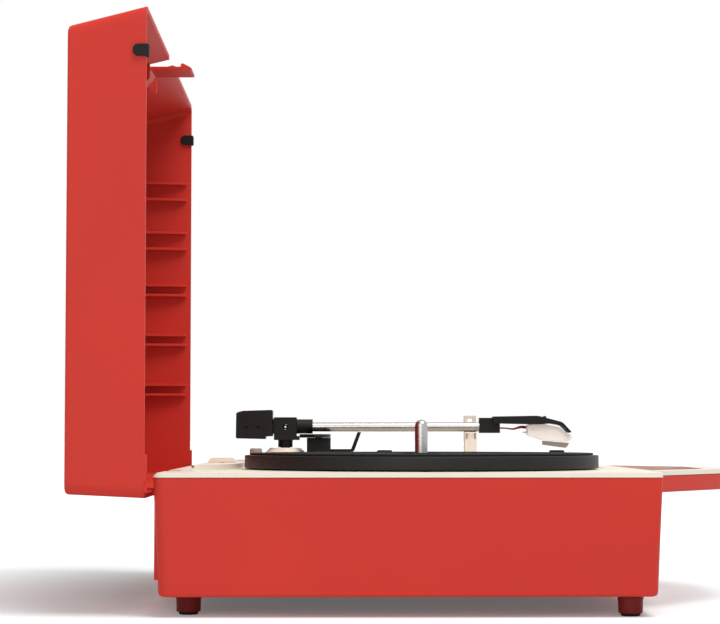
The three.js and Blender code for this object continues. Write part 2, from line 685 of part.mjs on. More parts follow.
function socketPlate() {
  const half = [SOCKET_PLATE[0] / 2, SOCKET_PLATE[1] / 2];
  const plate = block([-half[0], half[0]], [-SOCKET_PLATE[2], 0], [-half[1], half[1]]);
  const hole = (x, radius) => rodAlongY([-SOCKET_PLATE[2] - CUT_PAST, CUT_PAST], [x, 0], radius + SEAT_GAP);
  const lineHoles = LINE_COLLARS.map((dx) => hole(LINE_OFFSET + dx, LINE_COLLAR_RADIUS));
  return cut(plate, hole(DC_OFFSET, DC_NOSE_RADIUS), ...lineHoles);
}
add(player, 'socket_plate', BLACK, socketPlate(), [SOCKET_X, SOCKET_PLATE_Y, SOCKET_Z]);

function dcSocket() {
  const back = -SOCKET_PLATE[2] - SEAT_GAP;
  const [width, depth, height] = SOCKET_BODY;
  const body = block([-width / 2, width / 2], [back - depth, back], [-height / 2, height / 2]);
  const nose = rodAlongY([back - 1, 0.4], [0, 0], DC_NOSE_RADIUS);
  const hollow = rodAlongY([back - 8, CUT_PAST], [0, 0], SOCKET_BORE);
  const contact = rodAlongY([back - 9, -1], [0, 0], 0.8, 10);
  return join(cut(join(body, nose), hollow), contact);
}
add(player, 'dc_socket', BLACK, dcSocket(), [SOCKET_X + DC_OFFSET, SOCKET_PLATE_Y, SOCKET_Z]);

function lineSocket() {
  const back = -SOCKET_PLATE[2] - SEAT_GAP;
  const [, depth, height] = SOCKET_BODY;
  const body = block([-13, 13], [back - depth, back], [-height / 2, height / 2]);
  const collars = LINE_COLLARS.map((dx) => rodAlongY([back - 1, 5], [dx, 0], LINE_COLLAR_RADIUS));
  const bores = LINE_COLLARS.map((dx) => rodAlongY([-6, 6], [dx, 0], 1.7, 10));
  return cut(join(body, ...collars), ...bores);
}
add(player, 'line_socket', BRASS, lineSocket(), [SOCKET_X + LINE_OFFSET, SOCKET_PLATE_Y, SOCKET_Z]);

const BOARD_Z = SOCKET_Z - SOCKET_BODY[2] / 2 - SEAT_GAP - BOARD[2];
const BOARD_Y1 = SOCKET_PLATE_Y - SOCKET_PLATE[2] - 2;
function circuitBoard() {
  const board = block([-BOARD[0] / 2, BOARD[0] / 2], [-BOARD[1], 0], [0, BOARD[2]]);
  const parts = [
    rod([-30, -38], [1, 12], 4, 16),
    rod([-18, -38], [1, 10], 3, 12),
    block([0, 22], [-46, -28], [1, 5]),
    block([30, 40], [-50, -30], [1, 8]),
  ];
  const legFoot = FLOOR_Z + CASE_WALL + SEAT_GAP - BOARD_Z;
  const legs = rectangle([-44, 44], [-54, -4]).map((place) => rod(place, [legFoot, 1], 2.2, 8));
  return join(board, ...parts, ...legs);
}
add(player, 'circuit_board', BOARD_GREEN, circuitBoard(), [SOCKET_X, BOARD_Y1, BOARD_Z]);

for (const [side, sx] of SIDES) {
  const place = [(sx * SPEAKER_SPREAD) / 2, SPEAKER_FACE_Y, FLOOR_Z + SPEAKER_HEIGHT];
  // Both are turned about z with the face at z = 0, then laid down to face the front.
  const frame = turned(
    [
      [SPEAKER_RADIUS - 3, 0],
      [SPEAKER_RADIUS, 0],
      [SPEAKER_RADIUS, 2.5],
      [SPEAKER_RADIUS - 2, 2.5],
      [11, 12],
      [11, SPEAKER_DEPTH],
      [0, SPEAKER_DEPTH],
      [0, 13],
      [9, 11],
      [SPEAKER_RADIUS - 3, 1.5],
      [SPEAKER_RADIUS - 3, 0],
    ],
    ROUND_SPEAKER,
  );
  add(player, `speaker_frame_${side}`, BLACK, frame.rotateX(-Math.PI / 2), place);
  const cone = turned(
    [
      [SPEAKER_RADIUS - 3.6, 0.3],
      [SPEAKER_RADIUS - 3.6, 1],
      [8, 10.2],
      [0, 12],
      [0, 6],
      [7, 8],
      [SPEAKER_RADIUS - 6, 0.8],
      [SPEAKER_RADIUS - 3.6, 0.3],
    ],
    ROUND_SPEAKER,
  );
  add(player, `speaker_cone_${side}`, CONE_PAPER, cone.rotateX(-Math.PI / 2), place);
}

// ---------------------------------------------------------------- motor and platter

const turntable = new THREE.Group();
turntable.position.set(SPINDLE_X, SPINDLE_Y, DECK_TOP);
player.add(turntable);

const deckUnder = -DECK_THICKNESS;
const rimTop = PLATTER_LIFT + PLATTER_RIM_HEIGHT;
const plateUnder = rimTop - PLATTER_TOP;
const [pulleyX, pulleyY] = PULLEY_OFFSET;

function motor() {
  const top = deckUnder - SEAT_GAP;
  const can = rod([0, 0], [top - MOTOR_HEIGHT, top], MOTOR_RADIUS, 28);
  const boss = rod([0, 0], [top - MOTOR_HEIGHT - 3, top - MOTOR_HEIGHT + 1], 4, 16);
  return cut(join(can, boss), rod([0, 0], [top - 12, top + CUT_PAST], 1 + TURN_GAP, 12));
}
add(turntable, 'motor', STEEL, motor(), [pulleyX, pulleyY, 0]);
const pulley = turned(
  [
    [0, deckUnder - SEAT_GAP - 10],
    [1, deckUnder - SEAT_GAP - 10],
    [1, 0.6],
    [PULLEY_RADIUS + 0.8, 0.6],
    [PULLEY_RADIUS + 0.8, 1],
    [PULLEY_RADIUS, 1.2],
    [PULLEY_RADIUS, 4.6],
    [2, 5.2],
    [0, 5.2],
  ],
  20,
);
add(turntable, 'motor_pulley', BRASS, pulley, [pulleyX, pulleyY, 0]);

// The loop round two circles: an arc round the drum, a straight run, an arc round the pulley and back.
function beltOutline(offset) {
  const distance = Math.hypot(pulleyX, pulleyY);
  const toPulley = Math.atan2(pulleyY, pulleyX);
  const tangent = Math.acos((DRUM_RADIUS - PULLEY_RADIUS) / distance);
  const path = new THREE.Shape();
  path.absarc(0, 0, DRUM_RADIUS + offset, toPulley + tangent, toPulley - tangent + 2 * Math.PI, false);
  path.absarc(pulleyX, pulleyY, PULLEY_RADIUS + offset, toPulley - tangent, toPulley + tangent, false);
  path.closePath();
  return path;
}
const BELT_Z = 1.4;
const belt = cut(
  prism(beltOutline(0.4 + BELT_THICKNESS), [BELT_Z, BELT_Z + BELT_WIDTH], ROUND_BELT),
  prism(beltOutline(0.4), [BELT_Z - CUT_PAST, BELT_Z + BELT_WIDTH + CUT_PAST], ROUND_BELT),
);
add(turntable, 'drive_belt', RUBBER, belt);

const spindle = turned(
  [
    [0, deckUnder - 12],
    [6, deckUnder - 12],
    [9, deckUnder - 2.5],
    [9, deckUnder - SEAT_GAP],
    [SPINDLE_RADIUS, deckUnder - SEAT_GAP],
    [SPINDLE_RADIUS, SPINDLE_HEIGHT - 3.6],
    [SPINDLE_RADIUS * 0.87, SPINDLE_HEIGHT - 1.8],
    [SPINDLE_RADIUS * 0.5, SPINDLE_HEIGHT - 0.5],
    [0, SPINDLE_HEIGHT],
  ],
  20,
);
add(turntable, 'spindle', STEEL, spindle);
const washer = turned([
  [SPINDLE_RADIUS + SEAT_GAP, SEAT_GAP],
  [9, SEAT_GAP],
  [9, 1.1],
  [SPINDLE_RADIUS + SEAT_GAP, 1.1],
  [SPINDLE_RADIUS + SEAT_GAP, SEAT_GAP],
]);
add(turntable, 'platter_washer', WHITE, washer);

const platterRadius = PLATTER_DIAMETER / 2;
const bore = SPINDLE_RADIUS + TURN_GAP;
const platter = turned(
  [
    [bore, 1.4],
    [10, 1.4],
    [10, plateUnder],
    [DRUM_RADIUS - 3, plateUnder],
    [DRUM_RADIUS - 3, 1.2],
    [DRUM_RADIUS, 1.2],
    [DRUM_RADIUS, plateUnder],
    [platterRadius - PLATTER_RIM, plateUnder],
    [platterRadius - PLATTER_RIM, PLATTER_LIFT],
    [platterRadius - 0.6, PLATTER_LIFT],
    [platterRadius, PLATTER_LIFT + 0.6],
    [platterRadius, rimTop - 0.6],
    [platterRadius - 0.6, rimTop],
    [bore, rimTop],
    [bore, 1.4],
  ],
  ROUND_PLATTER,
);
add(turntable, 'platter', MAT_RUBBER, platter);
const mat = turned(
  [
    [bore + 0.3, rimTop + SEAT_GAP],
    [MAT_RADIUS, rimTop + SEAT_GAP],
    [MAT_RADIUS, rimTop + SEAT_GAP + MAT_THICKNESS * 0.6],
    [MAT_RADIUS - 0.5, rimTop + SEAT_GAP + MAT_THICKNESS],
    [bore + 0.3, rimTop + SEAT_GAP + MAT_THICKNESS],
    [bore + 0.3, rimTop + SEAT_GAP],
  ],
  ROUND_PLATTER,
);
add(turntable, 'platter_mat', RUBBER, mat);

// ---------------------------------------------------------------- tonearm

const arm = new THREE.Group(); // origin on the arm's upright axis, at the deck's top face
arm.position.set(ARM_X, ARM_Y, DECK_TOP);
player.add(arm);
const podTop = POD_HEIGHT + SEAT_GAP;
const ahead = (distance) => -distance; // the arm points to the front

// A cone, with a flat cut for the cue block beside it.
function armBase() {
  const inner = ARM_SPIGOT_RADIUS + SEAT_GAP;
  const cone = turned(
    [
      [inner, podTop],
      [ARM_BASE_RADII[0], podTop],
      [ARM_BASE_RADII[0], podTop + 0.8],
      [ARM_BASE_RADII[1], ARM_BASE_TOP],
      [inner, ARM_BASE_TOP],
      [inner, podTop],
    ],
    32,
  );
  return cut(
    cone,
    block(
      [-CUE_LEFT - SEAT_GAP, CUE_RIGHT + SEAT_GAP],
      [ahead(ARM_BASE_RADII[0] + CUT_PAST), ahead(CUE_START - SEAT_GAP)],
      [podTop - CUT_PAST, ARM_BASE_TOP],
    ),
  );
}
add(arm, 'arm_base', CREAM, armBase());

function armYoke() {
  const post = turned(
    [
      [0, deckUnder - 6],
      [ARM_SPIGOT_RADIUS, deckUnder - 6],
      [ARM_SPIGOT_RADIUS, ARM_BASE_TOP + SEAT_GAP],
      [ARM_POST_RADIUS, ARM_BASE_TOP + SEAT_GAP],
      [ARM_POST_RADIUS, YOKE_FLOOR + 1],
      [0, YOKE_FLOOR + 1],
    ],
    20,
  );
  const floor = block(
    [-YOKE_HALF_WIDTH, YOKE_HALF_WIDTH],
    [ahead(YOKE_HALF_LENGTH + 1.9), YOKE_HALF_LENGTH],
    [YOKE_FLOOR, YOKE_FLOOR + YOKE_FLOOR_THICKNESS],
  );
  const cheeks = SIDES.map(([, sx]) => {
    const xs = [sx * (YOKE_HALF_WIDTH - YOKE_CHEEK), sx * YOKE_HALF_WIDTH].sort((a, b) => a - b);
    return block(xs, [-YOKE_HALF_LENGTH, YOKE_HALF_LENGTH], [YOKE_FLOOR + 1, YOKE_TOP]);
  });
  const boreHalf = YOKE_HALF_WIDTH + CUT_PAST;
  const bore = rodAlongX([-boreHalf, boreHalf], [0, ARM_AXIS_HEIGHT], ARM_PIN_RADIUS + TURN_GAP);
  return cut(join(post, floor, ...cheeks), bore);
}
add(arm, 'arm_yoke', BLACK, armYoke());

const pinHalf = YOKE_HALF_WIDTH - 0.2;
add(
  arm,
  'arm_pin',
  STEEL,
  cut(
    rodAlongX([-pinHalf, pinHalf], [0, ARM_AXIS_HEIGHT], ARM_PIN_RADIUS),
    rodAlongX([-pinHalf - CUT_PAST, pinHalf + CUT_PAST], [0, ARM_AXIS_HEIGHT], 0.7, 8),
  ),
);

const carrierHalf = YOKE_HALF_WIDTH - YOKE_CHEEK - 0.5;
function armCarrier() {
  const carrierBody = block(
    [-carrierHalf, carrierHalf],
    [ahead(ARM_SLEEVE_START), WEIGHT_START - SEAT_GAP],
    [ARM_AXIS_HEIGHT - 4.4, ARM_AXIS_HEIGHT + 5],
  );
  const sleeveYs = [ahead(ARM_SLEEVE_END), ahead(ARM_SLEEVE_START - 1)];
  const sleeve = rodAlongY(sleeveYs, [0, ARM_AXIS_HEIGHT + 0.3], ARM_SLEEVE_RADIUS, 20);
  const socketYs = [ahead(ARM_SLEEVE_END + CUT_PAST), ahead(ARM_SLEEVE_END - TUBE_IN_SLEEVE)];
  return cut(
    join(carrierBody, sleeve),
    rodAlongY(socketYs, [0, ARM_AXIS_HEIGHT], ARM_TUBE_RADIUS + SEAT_GAP, 20),
    rodAlongX([-YOKE_HALF_WIDTH, YOKE_HALF_WIDTH], [0, ARM_AXIS_HEIGHT], ARM_PIN_RADIUS + TURN_GAP),
  );
}
add(arm, 'arm_carrier', BLACK, armCarrier());

function counterweight() {
  const top = WEIGHT_TOP;
  const end = WEIGHT_START + WEIGHT_LENGTH;
  const outline = roundedOutline(
    [
      [WEIGHT_START, top],
      [end - 4, top - 0.6],
      [end, top - 1.8],
      [end + 0.2, top - WEIGHT_HEIGHT + 0.4],
      [WEIGHT_START + 4.4, top - WEIGHT_HEIGHT],
      [WEIGHT_START + 4.2, top - WEIGHT_HEIGHT + 1.6],
      [WEIGHT_START, top - WEIGHT_HEIGHT + 1.8],
    ],
    [0.8, 0.5, 0.8, 1, 0.2, 0.2, 0.4],
  );
  return prismAlongX(outline, [-WEIGHT_WIDTH / 2, WEIGHT_WIDTH / 2], 2);
}
add(arm, 'counterweight', BLACK, counterweight());

const tubeStart = ARM_SLEEVE_END - TUBE_IN_SLEEVE + 0.4;
const TUBE_WALL = 0.8;
add(
  arm,
  'arm_tube',
  STEEL,
  cut(
    rodAlongY([ahead(ARM_TUBE_END), ahead(tubeStart)], [0, ARM_AXIS_HEIGHT], ARM_TUBE_RADIUS, 20),
    rodAlongY(
      [ahead(ARM_TUBE_END + CUT_PAST), ahead(tubeStart - CUT_PAST)],
      [0, ARM_AXIS_HEIGHT],
      ARM_TUBE_RADIUS - TUBE_WALL,
      12,
    ),
  ),
);

// The head, drawn from the side in (distance ahead of the pivot, height above the deck).
const sideOutline = (points, setbacks) =>
  roundedOutline(points.map(([along, up]) => [ahead(along), up]), setbacks);

const HEAD_SLEEVE = [ARM_TUBE_END - 2.4, ARM_TUBE_END + 10.4];
const HEAD_HALF_WIDTH = 8;
const HEAD_TOP = ARM_AXIS_HEIGHT + 7;
const belowTop = (points) => points.map(([along, down]) => [along, HEAD_TOP - down]);
function headShell() {
  const [sleeveStart, sleeveEnd] = HEAD_SLEEVE;
  const sleeve = block(
    [-ARM_POST_RADIUS, ARM_POST_RADIUS],
    [ahead(sleeveEnd), ahead(sleeveStart)],
    [ARM_AXIS_HEIGHT - 3.8, HEAD_TOP - 1.3],
  );
  const top = prismAlongX(
    sideOutline(
      [
        [sleeveStart + 8.5, HEAD_TOP - 0.5],
        [158, HEAD_TOP],
        [173.4, HEAD_TOP - 4],
        [179, HEAD_TOP - 10.2],
        [177.4, HEAD_TOP - 10.8],
        [172.6, HEAD_TOP - 6],
        [158, HEAD_TOP - 3.4],
        [sleeveStart + 8.5, HEAD_TOP - 3.6],
      ],
      [0, 1.5, 1.5, 0.4, 0.4, 1, 1, 0],
    ),
    [-HEAD_HALF_WIDTH, HEAD_HALF_WIDTH],
    2,
  );
  const flanges = SIDES.map(([, sx]) => {
    const xs = [sx * (HEAD_HALF_WIDTH - 1.4), sx * HEAD_HALF_WIDTH].sort((a, b) => a - b);
    return prismAlongX(
      sideOutline([
        [sleeveStart + 8.5, HEAD_TOP - 1],
        [158, HEAD_TOP - 1],
        [172, HEAD_TOP - 4.6],
        [158, HEAD_TOP - 5.4],
        [sleeveStart + 8.5, HEAD_TOP - 4.8],
      ]),
      xs,
    );
  });
  const socketYs = [ahead(ARM_TUBE_END + 0.5), ahead(sleeveStart - CUT_PAST)];
  return cut(
    join(sleeve, top, ...flanges),
    rodAlongY(socketYs, [0, ARM_AXIS_HEIGHT], ARM_TUBE_RADIUS + SEAT_GAP, 20),
    rodAlongY([ahead(sleeveEnd + CUT_PAST), ahead(ARM_TUBE_END)], [0, ARM_AXIS_HEIGHT], 2, 12),
  );
}
add(arm, 'head_shell', BLACK, headShell());

const CARTRIDGE_START = 151.5;
function cartridge() {
  const outline = sideOutline(
    belowTop([
      [CARTRIDGE_START, 5.8],
      [CARTRIDGE_START, 12.1],
      [161.3, 15.3],
      [177.6, 16.6],
      [180.6, 12.6],
      [176, 11],
      [171.4, 7.2],
      [158, 4.4],
    ]),
    [0.4, 0.6, 0.6, 1.2, 1.2, 0.3, 0.6, 0.4],
  );
  return prismAlongX(outline, [-5.6, 5.6], 2);
}
add(arm, 'cartridge', WHITE, cartridge());

function stylusGuard() {
  const outline = sideOutline(
    belowTop([
      [161.5, 15.7],
      [161.3, 18.2],
      [175, 20.1],
      [176.2, 19.8],
      [178, 17],
    ]),
    [0.2, 0.4, 0.4, 0.4, 0.2],
  );
  return prismAlongX(outline, [-4, 4], 2);
}
add(arm, 'stylus_guard', GREY, stylusGuard());

// Two leads from the tube's end to the back of the cartridge, hanging a little between them.
const LEADS = [['lead_red', WIRE_RED, -1.2, 0.9], ['lead_black', BLACK, 1.2, 0.1]];
const LEAD_RADIUS = 0.5;
for (const [name, material, x, rise] of LEADS) {
  const from = HEAD_SLEEVE[1] - 3;
  const to = CARTRIDGE_START - SEAT_GAP;
  const route = new THREE.CatmullRomCurve3([
    new THREE.Vector3(x * 0.6, ahead(from), ARM_AXIS_HEIGHT - 0.2),
    new THREE.Vector3(x, ahead(from + 3.4), ARM_AXIS_HEIGHT - 0.4),
    new THREE.Vector3(x * 1.5, ahead((from + to) / 2), ARM_AXIS_HEIGHT - 1.4),
    new THREE.Vector3(x * 1.8, ahead(to - 4), ARM_AXIS_HEIGHT - 0.6 + rise),
    new THREE.Vector3(x * 1.8, ahead(to), ARM_AXIS_HEIGHT - 1 + rise),
  ]);
  const section = new THREE.Shape().absarc(0, 0, LEAD_RADIUS, 0, 2 * Math.PI);
  const options = { extrudePath: route, steps: 14, curveSegments: 4, bevelEnabled: false };
  const lead = new THREE.ExtrudeGeometry(section, options);
  add(arm, name, material, lead);
}

function armRest() {
  const ys = [ahead(ARM_REST_AT + ARM_REST_WIDTH / 2), ahead(ARM_REST_AT - ARM_REST_WIDTH / 2)];
  const shelf = ARM_AXIS_HEIGHT - ARM_TUBE_RADIUS - SEAT_GAP;
  const post = block([-4.2, 7.6], ys, [podTop, shelf]);
  const foot = block([-6, 9.4], [ys[0] - 1.6, ys[1] + 1.6], [podTop, podTop + 1.6]);
  const back = block([ARM_TUBE_RADIUS + 0.5, 7.6], ys, [shelf - 1, ARM_REST_TOP]);
  const middle = (ys[0] + ys[1]) / 2;
  const slot = block([0, 9], [middle - 1.7, middle + 1.7], [ARM_REST_TOP - 4.2, ARM_REST_TOP - 2]);
  return cut(join(post, foot, back), slot);
}
add(arm, 'arm_rest', CREAM, armRest());

// ---------------------------------------------------------------- cue lift

const cueFront = CUE_START + CUE_LENGTH;
const platformLow = CUE_TOP - CUE_PLATFORM;
const CUE_STEM_RADIUS = 2;
const cueMiddle = CUE_START + CUE_LENGTH / 2;
function cueBlock() {
  const body = block(
    [-CUE_LEFT, CUE_RIGHT],
    [ahead(cueFront), ahead(CUE_START)],
    [podTop, platformLow - SEAT_GAP],
  );
  const studXs = [CUE_RIGHT - 1, CUE_RIGHT + 3.6];
  const stud = rodAlongX(studXs, [ahead(CUE_STUD_AT), CUE_STUD_HEIGHT], CUE_STUD_RADIUS);
  const boreZs = [platformLow - 10, platformLow + CUT_PAST];
  const stemBore = rod([0, ahead(cueMiddle)], boreZs, CUE_STEM_RADIUS + TURN_GAP, 16);
  return cut(join(body, stud), stemBore);
}
add(arm, 'cue_block', BLACK, cueBlock());

// The platform is an arc about the arm's upright axis, so that it meets the arm wherever it has swung.
function cuePlatform() {
  const start = THREE.MathUtils.degToRad(-90 - CUE_SWEEP);
  const end = THREE.MathUtils.degToRad(-90 + 14);
  const shape = new THREE.Shape();
  shape.absarc(0, 0, cueFront, start, end, false);
  shape.absarc(0, 0, CUE_START + 0.4, end, start, true);
  shape.closePath();
  const stem = rod([0, ahead(cueMiddle)], [platformLow - 8, platformLow + 1], CUE_STEM_RADIUS, 16);
  return join(prism(shape, [platformLow, CUE_TOP], 8), stem);
}
add(arm, 'cue_platform', BLACK, cuePlatform());

function cueLever() {
  const xs = [CUE_RIGHT + SEAT_GAP, CUE_RIGHT + 2.8];
  const hub = rodAlongX(xs, [ahead(CUE_STUD_AT), CUE_STUD_HEIGHT], 3.4, 20);
  const arms = prismAlongX(
    sideOutline(
      [
        [CUE_STUD_AT, CUE_STUD_HEIGHT - 1.2],
        [42, CUE_STUD_HEIGHT - 1],
        [43.4, CUE_STUD_HEIGHT],
        [47.6, CUE_TOP + 1.3],
        [45.3, CUE_TOP + 1.3],
        [41.2, CUE_STUD_HEIGHT + 0.9],
        [CUE_STUD_AT, CUE_STUD_HEIGHT + 0.9],
      ],
      [0, 0.4, 0.4, 0.4, 0.4, 0.4, 0],
    ),
    xs,
    2,
  );
  const boreXs = [xs[0] - CUT_PAST, xs[1] + CUT_PAST];
  const bore = rodAlongX(boreXs, [ahead(CUE_STUD_AT), CUE_STUD_HEIGHT], CUE_STUD_RADIUS + TURN_GAP);
  return cut(join(hub, arms), bore);
}
add(arm, 'cue_lever', BLACK, cueLever());

// ---------------------------------------------------------------- controls

function knob(radius, top) {
  const low = POD_HEIGHT + SEAT_GAP + 0.1;
  return turned(
    [
      [0, deckUnder - 5],
      [KNOB_SHAFT_RADIUS, deckUnder - 5],
      [KNOB_SHAFT_RADIUS, low],
      [radius, low],
      [radius - 0.2, top - 0.6],
      [radius - 0.8, top],
      [0, top],
    ],
    ROUND_KNOB,
  );
}
const controls = [
  ['pitch_knob', GREY, PITCH_KNOB_AT, PITCH_KNOB_RADIUS, PITCH_KNOB_TOP],
  ['volume_knob', BLACK, VOLUME_KNOB_AT, KNOB_RADIUS, KNOB_TOP],
  ['tone_knob', BLACK, TONE_KNOB_AT, KNOB_RADIUS, KNOB_TOP],
];
for (const [name, material, [left, rear], radius, top] of controls) {
  add(player, name, material, knob(radius, top), [fromLeft(left), fromRear(rear), DECK_TOP]);
}

function speedSlider() {
  const [width, length, height] = SPEED_SLIDER_SIZE;
  const low = POD_HEIGHT + SEAT_GAP;
  const outline = roundedOutline(
    [
      [-length / 2, low],
      [length / 2, low],
      [length / 2 - 2, low + height],
      [-length / 2 + 2, low + height],
    ],
    [0, 0, 1, 1],
  );
  const cap = prismAlongX(outline, [-width / 2, width / 2]);
  const stem = block([-1.2, 1.2], [-1.1, 1.1], [deckUnder - 4, low + 1]);
  return join(cap, stem);
}
const sliderAt = [fromLeft(SPEED_SLIDER_AT[0]), fromRear(SPEED_SLIDER_AT[1]), DECK_TOP];
add(player, 'speed_slider', CREAM, speedSlider(), sliderAt);

// The controls' works hang under the deck, each round its knob's shaft.
for (const [name, [left, rear]] of [['volume_control', VOLUME_KNOB_AT], ['tone_control', TONE_KNOB_AT]]) {
  const top = deckUnder - SEAT_GAP;
  const body = cut(
    join(rod([0, 0], [top - 8, top], 8.2, 20), block([-8.2, 8.2], [-12, 0], [top - 4, top - 1])),
    rod([0, 0], [top - 6, top + CUT_PAST], KNOB_SHAFT_RADIUS + TURN_GAP, 16),
  );
  add(player, name, STEEL, body, [fromLeft(left), fromRear(rear), DECK_TOP]);
}

// ---------------------------------------------------------------- lid

// Drawn closed, with the origin on the hinge axis, then swung open.
const lid = new THREE.Group();
lid.position.set(0, HINGE_Y, HINGE_Z);
lid.rotation.x = THREE.MathUtils.degToRad(-LID_OPEN_ANGLE);
player.add(lid);

const LID_BASE = HINGE_BELOW_DECK + LID_GAP;
const LID_TOP = LID_BASE + LID_HEIGHT;
const LID_REAR = HINGE_INBOARD;
const LID_FRONT = LID_REAR - LID_LENGTH;

function lidBody(inset, [z0, z1], edge) {
  const xs = [-HALF_WIDTH + inset, HALF_WIDTH - inset];
  const ys = [LID_FRONT + inset, LID_REAR - inset];
  const outline = roundedOutline(rectangle(xs, ys), CASE_CORNER - inset / 2);
  return drafted(edgedPrism(outline, [z0, z1], edge), xs, ys, [LID_BASE, LID_TOP], {
    side: LID_DRAFT,
    front: LID_FRONT_SLOPE,
    rear: LID_DRAFT,
  });
}

// One stiffening rib on a side wall, deepest against the lid's top panel.
function lidRib(sx, y) {
  const wallAt = (z) => HALF_WIDTH - LID_WALL - (LID_DRAFT * (z - LID_BASE)) / LID_HEIGHT;
  const low = LID_BASE + 3;
  const high = LID_TOP - LID_WALL / 2;
  const corners = [
    [wallAt(low) + 1, low],
    [wallAt(high) + 1, high],
    [wallAt(high) - RIB_REACH_TOP, high],
    [wallAt(low) - RIB_REACH_EDGE, low + 2.4],
    [wallAt(low) - RIB_REACH_EDGE + 2, low],
  ].map(([x, z]) => [sx * x, z]);
  const ys = [y - RIB_THICKNESS / 2, y + RIB_THICKNESS / 2];
  return prismAlongY(roundedOutline(sx > 0 ? corners : corners.reverse()), ys);
}

function latchEar(sx) {
  const corners = [
    [LID_FRONT + 4.5, LID_BASE + 11],
    [LID_FRONT + LATCH_PIN_INSET + 4, LID_BASE + 11],
    [LID_FRONT + LATCH_PIN_INSET + 4, LID_TOP - LID_WALL + 0.7],
    [LID_FRONT + 10.8, LID_TOP - LID_WALL + 0.7],
  ];
  const xs = [sx * (LATCH_WINDOW_HALF + 0.5), sx * (LATCH_WINDOW_HALF + 3.5)].sort((a, b) => a - b);
  return prismAlongX(roundedOutline(corners, [0, 2, 0, 0]), xs);
}

const latchPinAt = [LID_FRONT + LATCH_PIN_INSET, LID_BASE + LATCH_PIN_HEIGHT];
function lidShell() {
  const additions = [];
  const removals = [
    block(
      [-LATCH_WINDOW_HALF, LATCH_WINDOW_HALF],
      [LID_FRONT - CUT_PAST, LID_FRONT + LID_FRONT_SLOPE + LID_WALL],
      [LID_BASE - CUT_PAST, LID_BASE + LATCH_WINDOW_HEIGHT],
    ),
    rodAlongX([-LATCH_WINDOW_HALF - 5, LATCH_WINDOW_HALF + 5], latchPinAt, LATCH_PIN_RADIUS + 0.15),
  ];
  for (const [, sx] of SIDES) {
    RIB_SPACINGS.forEach((spacing, i) => {
      const middle = LID_REAR - RIB_FIRST - i * RIB_PITCH;
      additions.push(lidRib(sx, middle - spacing / 2), lidRib(sx, middle + spacing / 2));
    });
    additions.push(latchEar(sx));
    const padXs = [sx * (HALF_WIDTH - LID_WALL), sx * (HALF_WIDTH - 0.2)].sort((a, b) => a - b);
    additions.push(block(padXs, [LID_REAR - 22, LID_REAR - 9], [LID_BASE - 1.2, LID_BASE + 1]));
    const x = (sx * HINGE_SPREAD) / 2;
    const xs = [x - HINGE_BARREL_LENGTH / 2, x + HINGE_BARREL_LENGTH / 2];
    additions.push(rodAlongX(xs, [0, 0], HINGE_BARREL_RADIUS, 20));
    additions.push(block(xs, [0.8, LID_REAR - 0.15], [0, LID_BASE + 3]));
    removals.push(rodAlongX([xs[0] - CUT_PAST, xs[1] + CUT_PAST], [0, 0], HINGE_PIN_RADIUS + TURN_GAP));
  }
  const shell = cut(
    lidBody(0, [LID_BASE - 4, LID_TOP], 1.6),
    lidBody(LID_WALL, [LID_BASE - 8, LID_TOP - LID_WALL], 1),
    block([-CASE_WIDTH, CASE_WIDTH], [LID_FRONT - 20, LID_REAR + 20], [LID_BASE - 10, LID_BASE]),
  );
  return cut(join(shell, ...additions), ...removals);
}
add(lid, 'lid_shell', RED, lidShell());

for (const [side, sx] of SIDES) {
  const half = HINGE_BOSS_HALF - 0.5;
  const place = [(sx * HINGE_SPREAD) / 2, HINGE_Y, HINGE_Z];
  add(player, `hinge_pin_${side}`, STEEL, rodAlongX([-half, half], [0, 0], HINGE_PIN_RADIUS), place);
}

// A rubber clip over each side wall's edge: the closed lid rests on the pair.
const CLIP_FROM_FRONT = 23.4;
const CLIP_HALF = 3.1;
const CLIP_PROUD = 1.3;
const CLIP_LENGTH = 8.2;
for (const [side, sx] of SIDES) {
  const y = LID_FRONT + CLIP_FROM_FRONT;
  const low = LID_BASE - CLIP_PROUD;
  const outline = roundedOutline(
    [
      [y - CLIP_HALF, low],
      [y + CLIP_HALF, low],
      [y + CLIP_HALF, low + CLIP_LENGTH],
      [y - CLIP_HALF, low + CLIP_LENGTH],
    ],
    [0.8, 0.8, CLIP_HALF * 0.95, CLIP_HALF * 0.95],
  );
  const span = (out, inner) => [sx * out, sx * inner].sort((a, b) => a - b);
  const clip = cut(
    prismAlongX(outline, span(HALF_WIDTH + 1.4, HALF_WIDTH - LID_WALL - 1.9)),
    block(
      span(HALF_WIDTH + SEAT_GAP, HALF_WIDTH - LID_WALL - 0.7),
      [y - 2 * CLIP_HALF, y + 2 * CLIP_HALF],
      [LID_BASE - SEAT_GAP, LID_TOP],
    ),
  );
  add(lid, `bumper_clip_${side}`, RUBBER, clip);
}

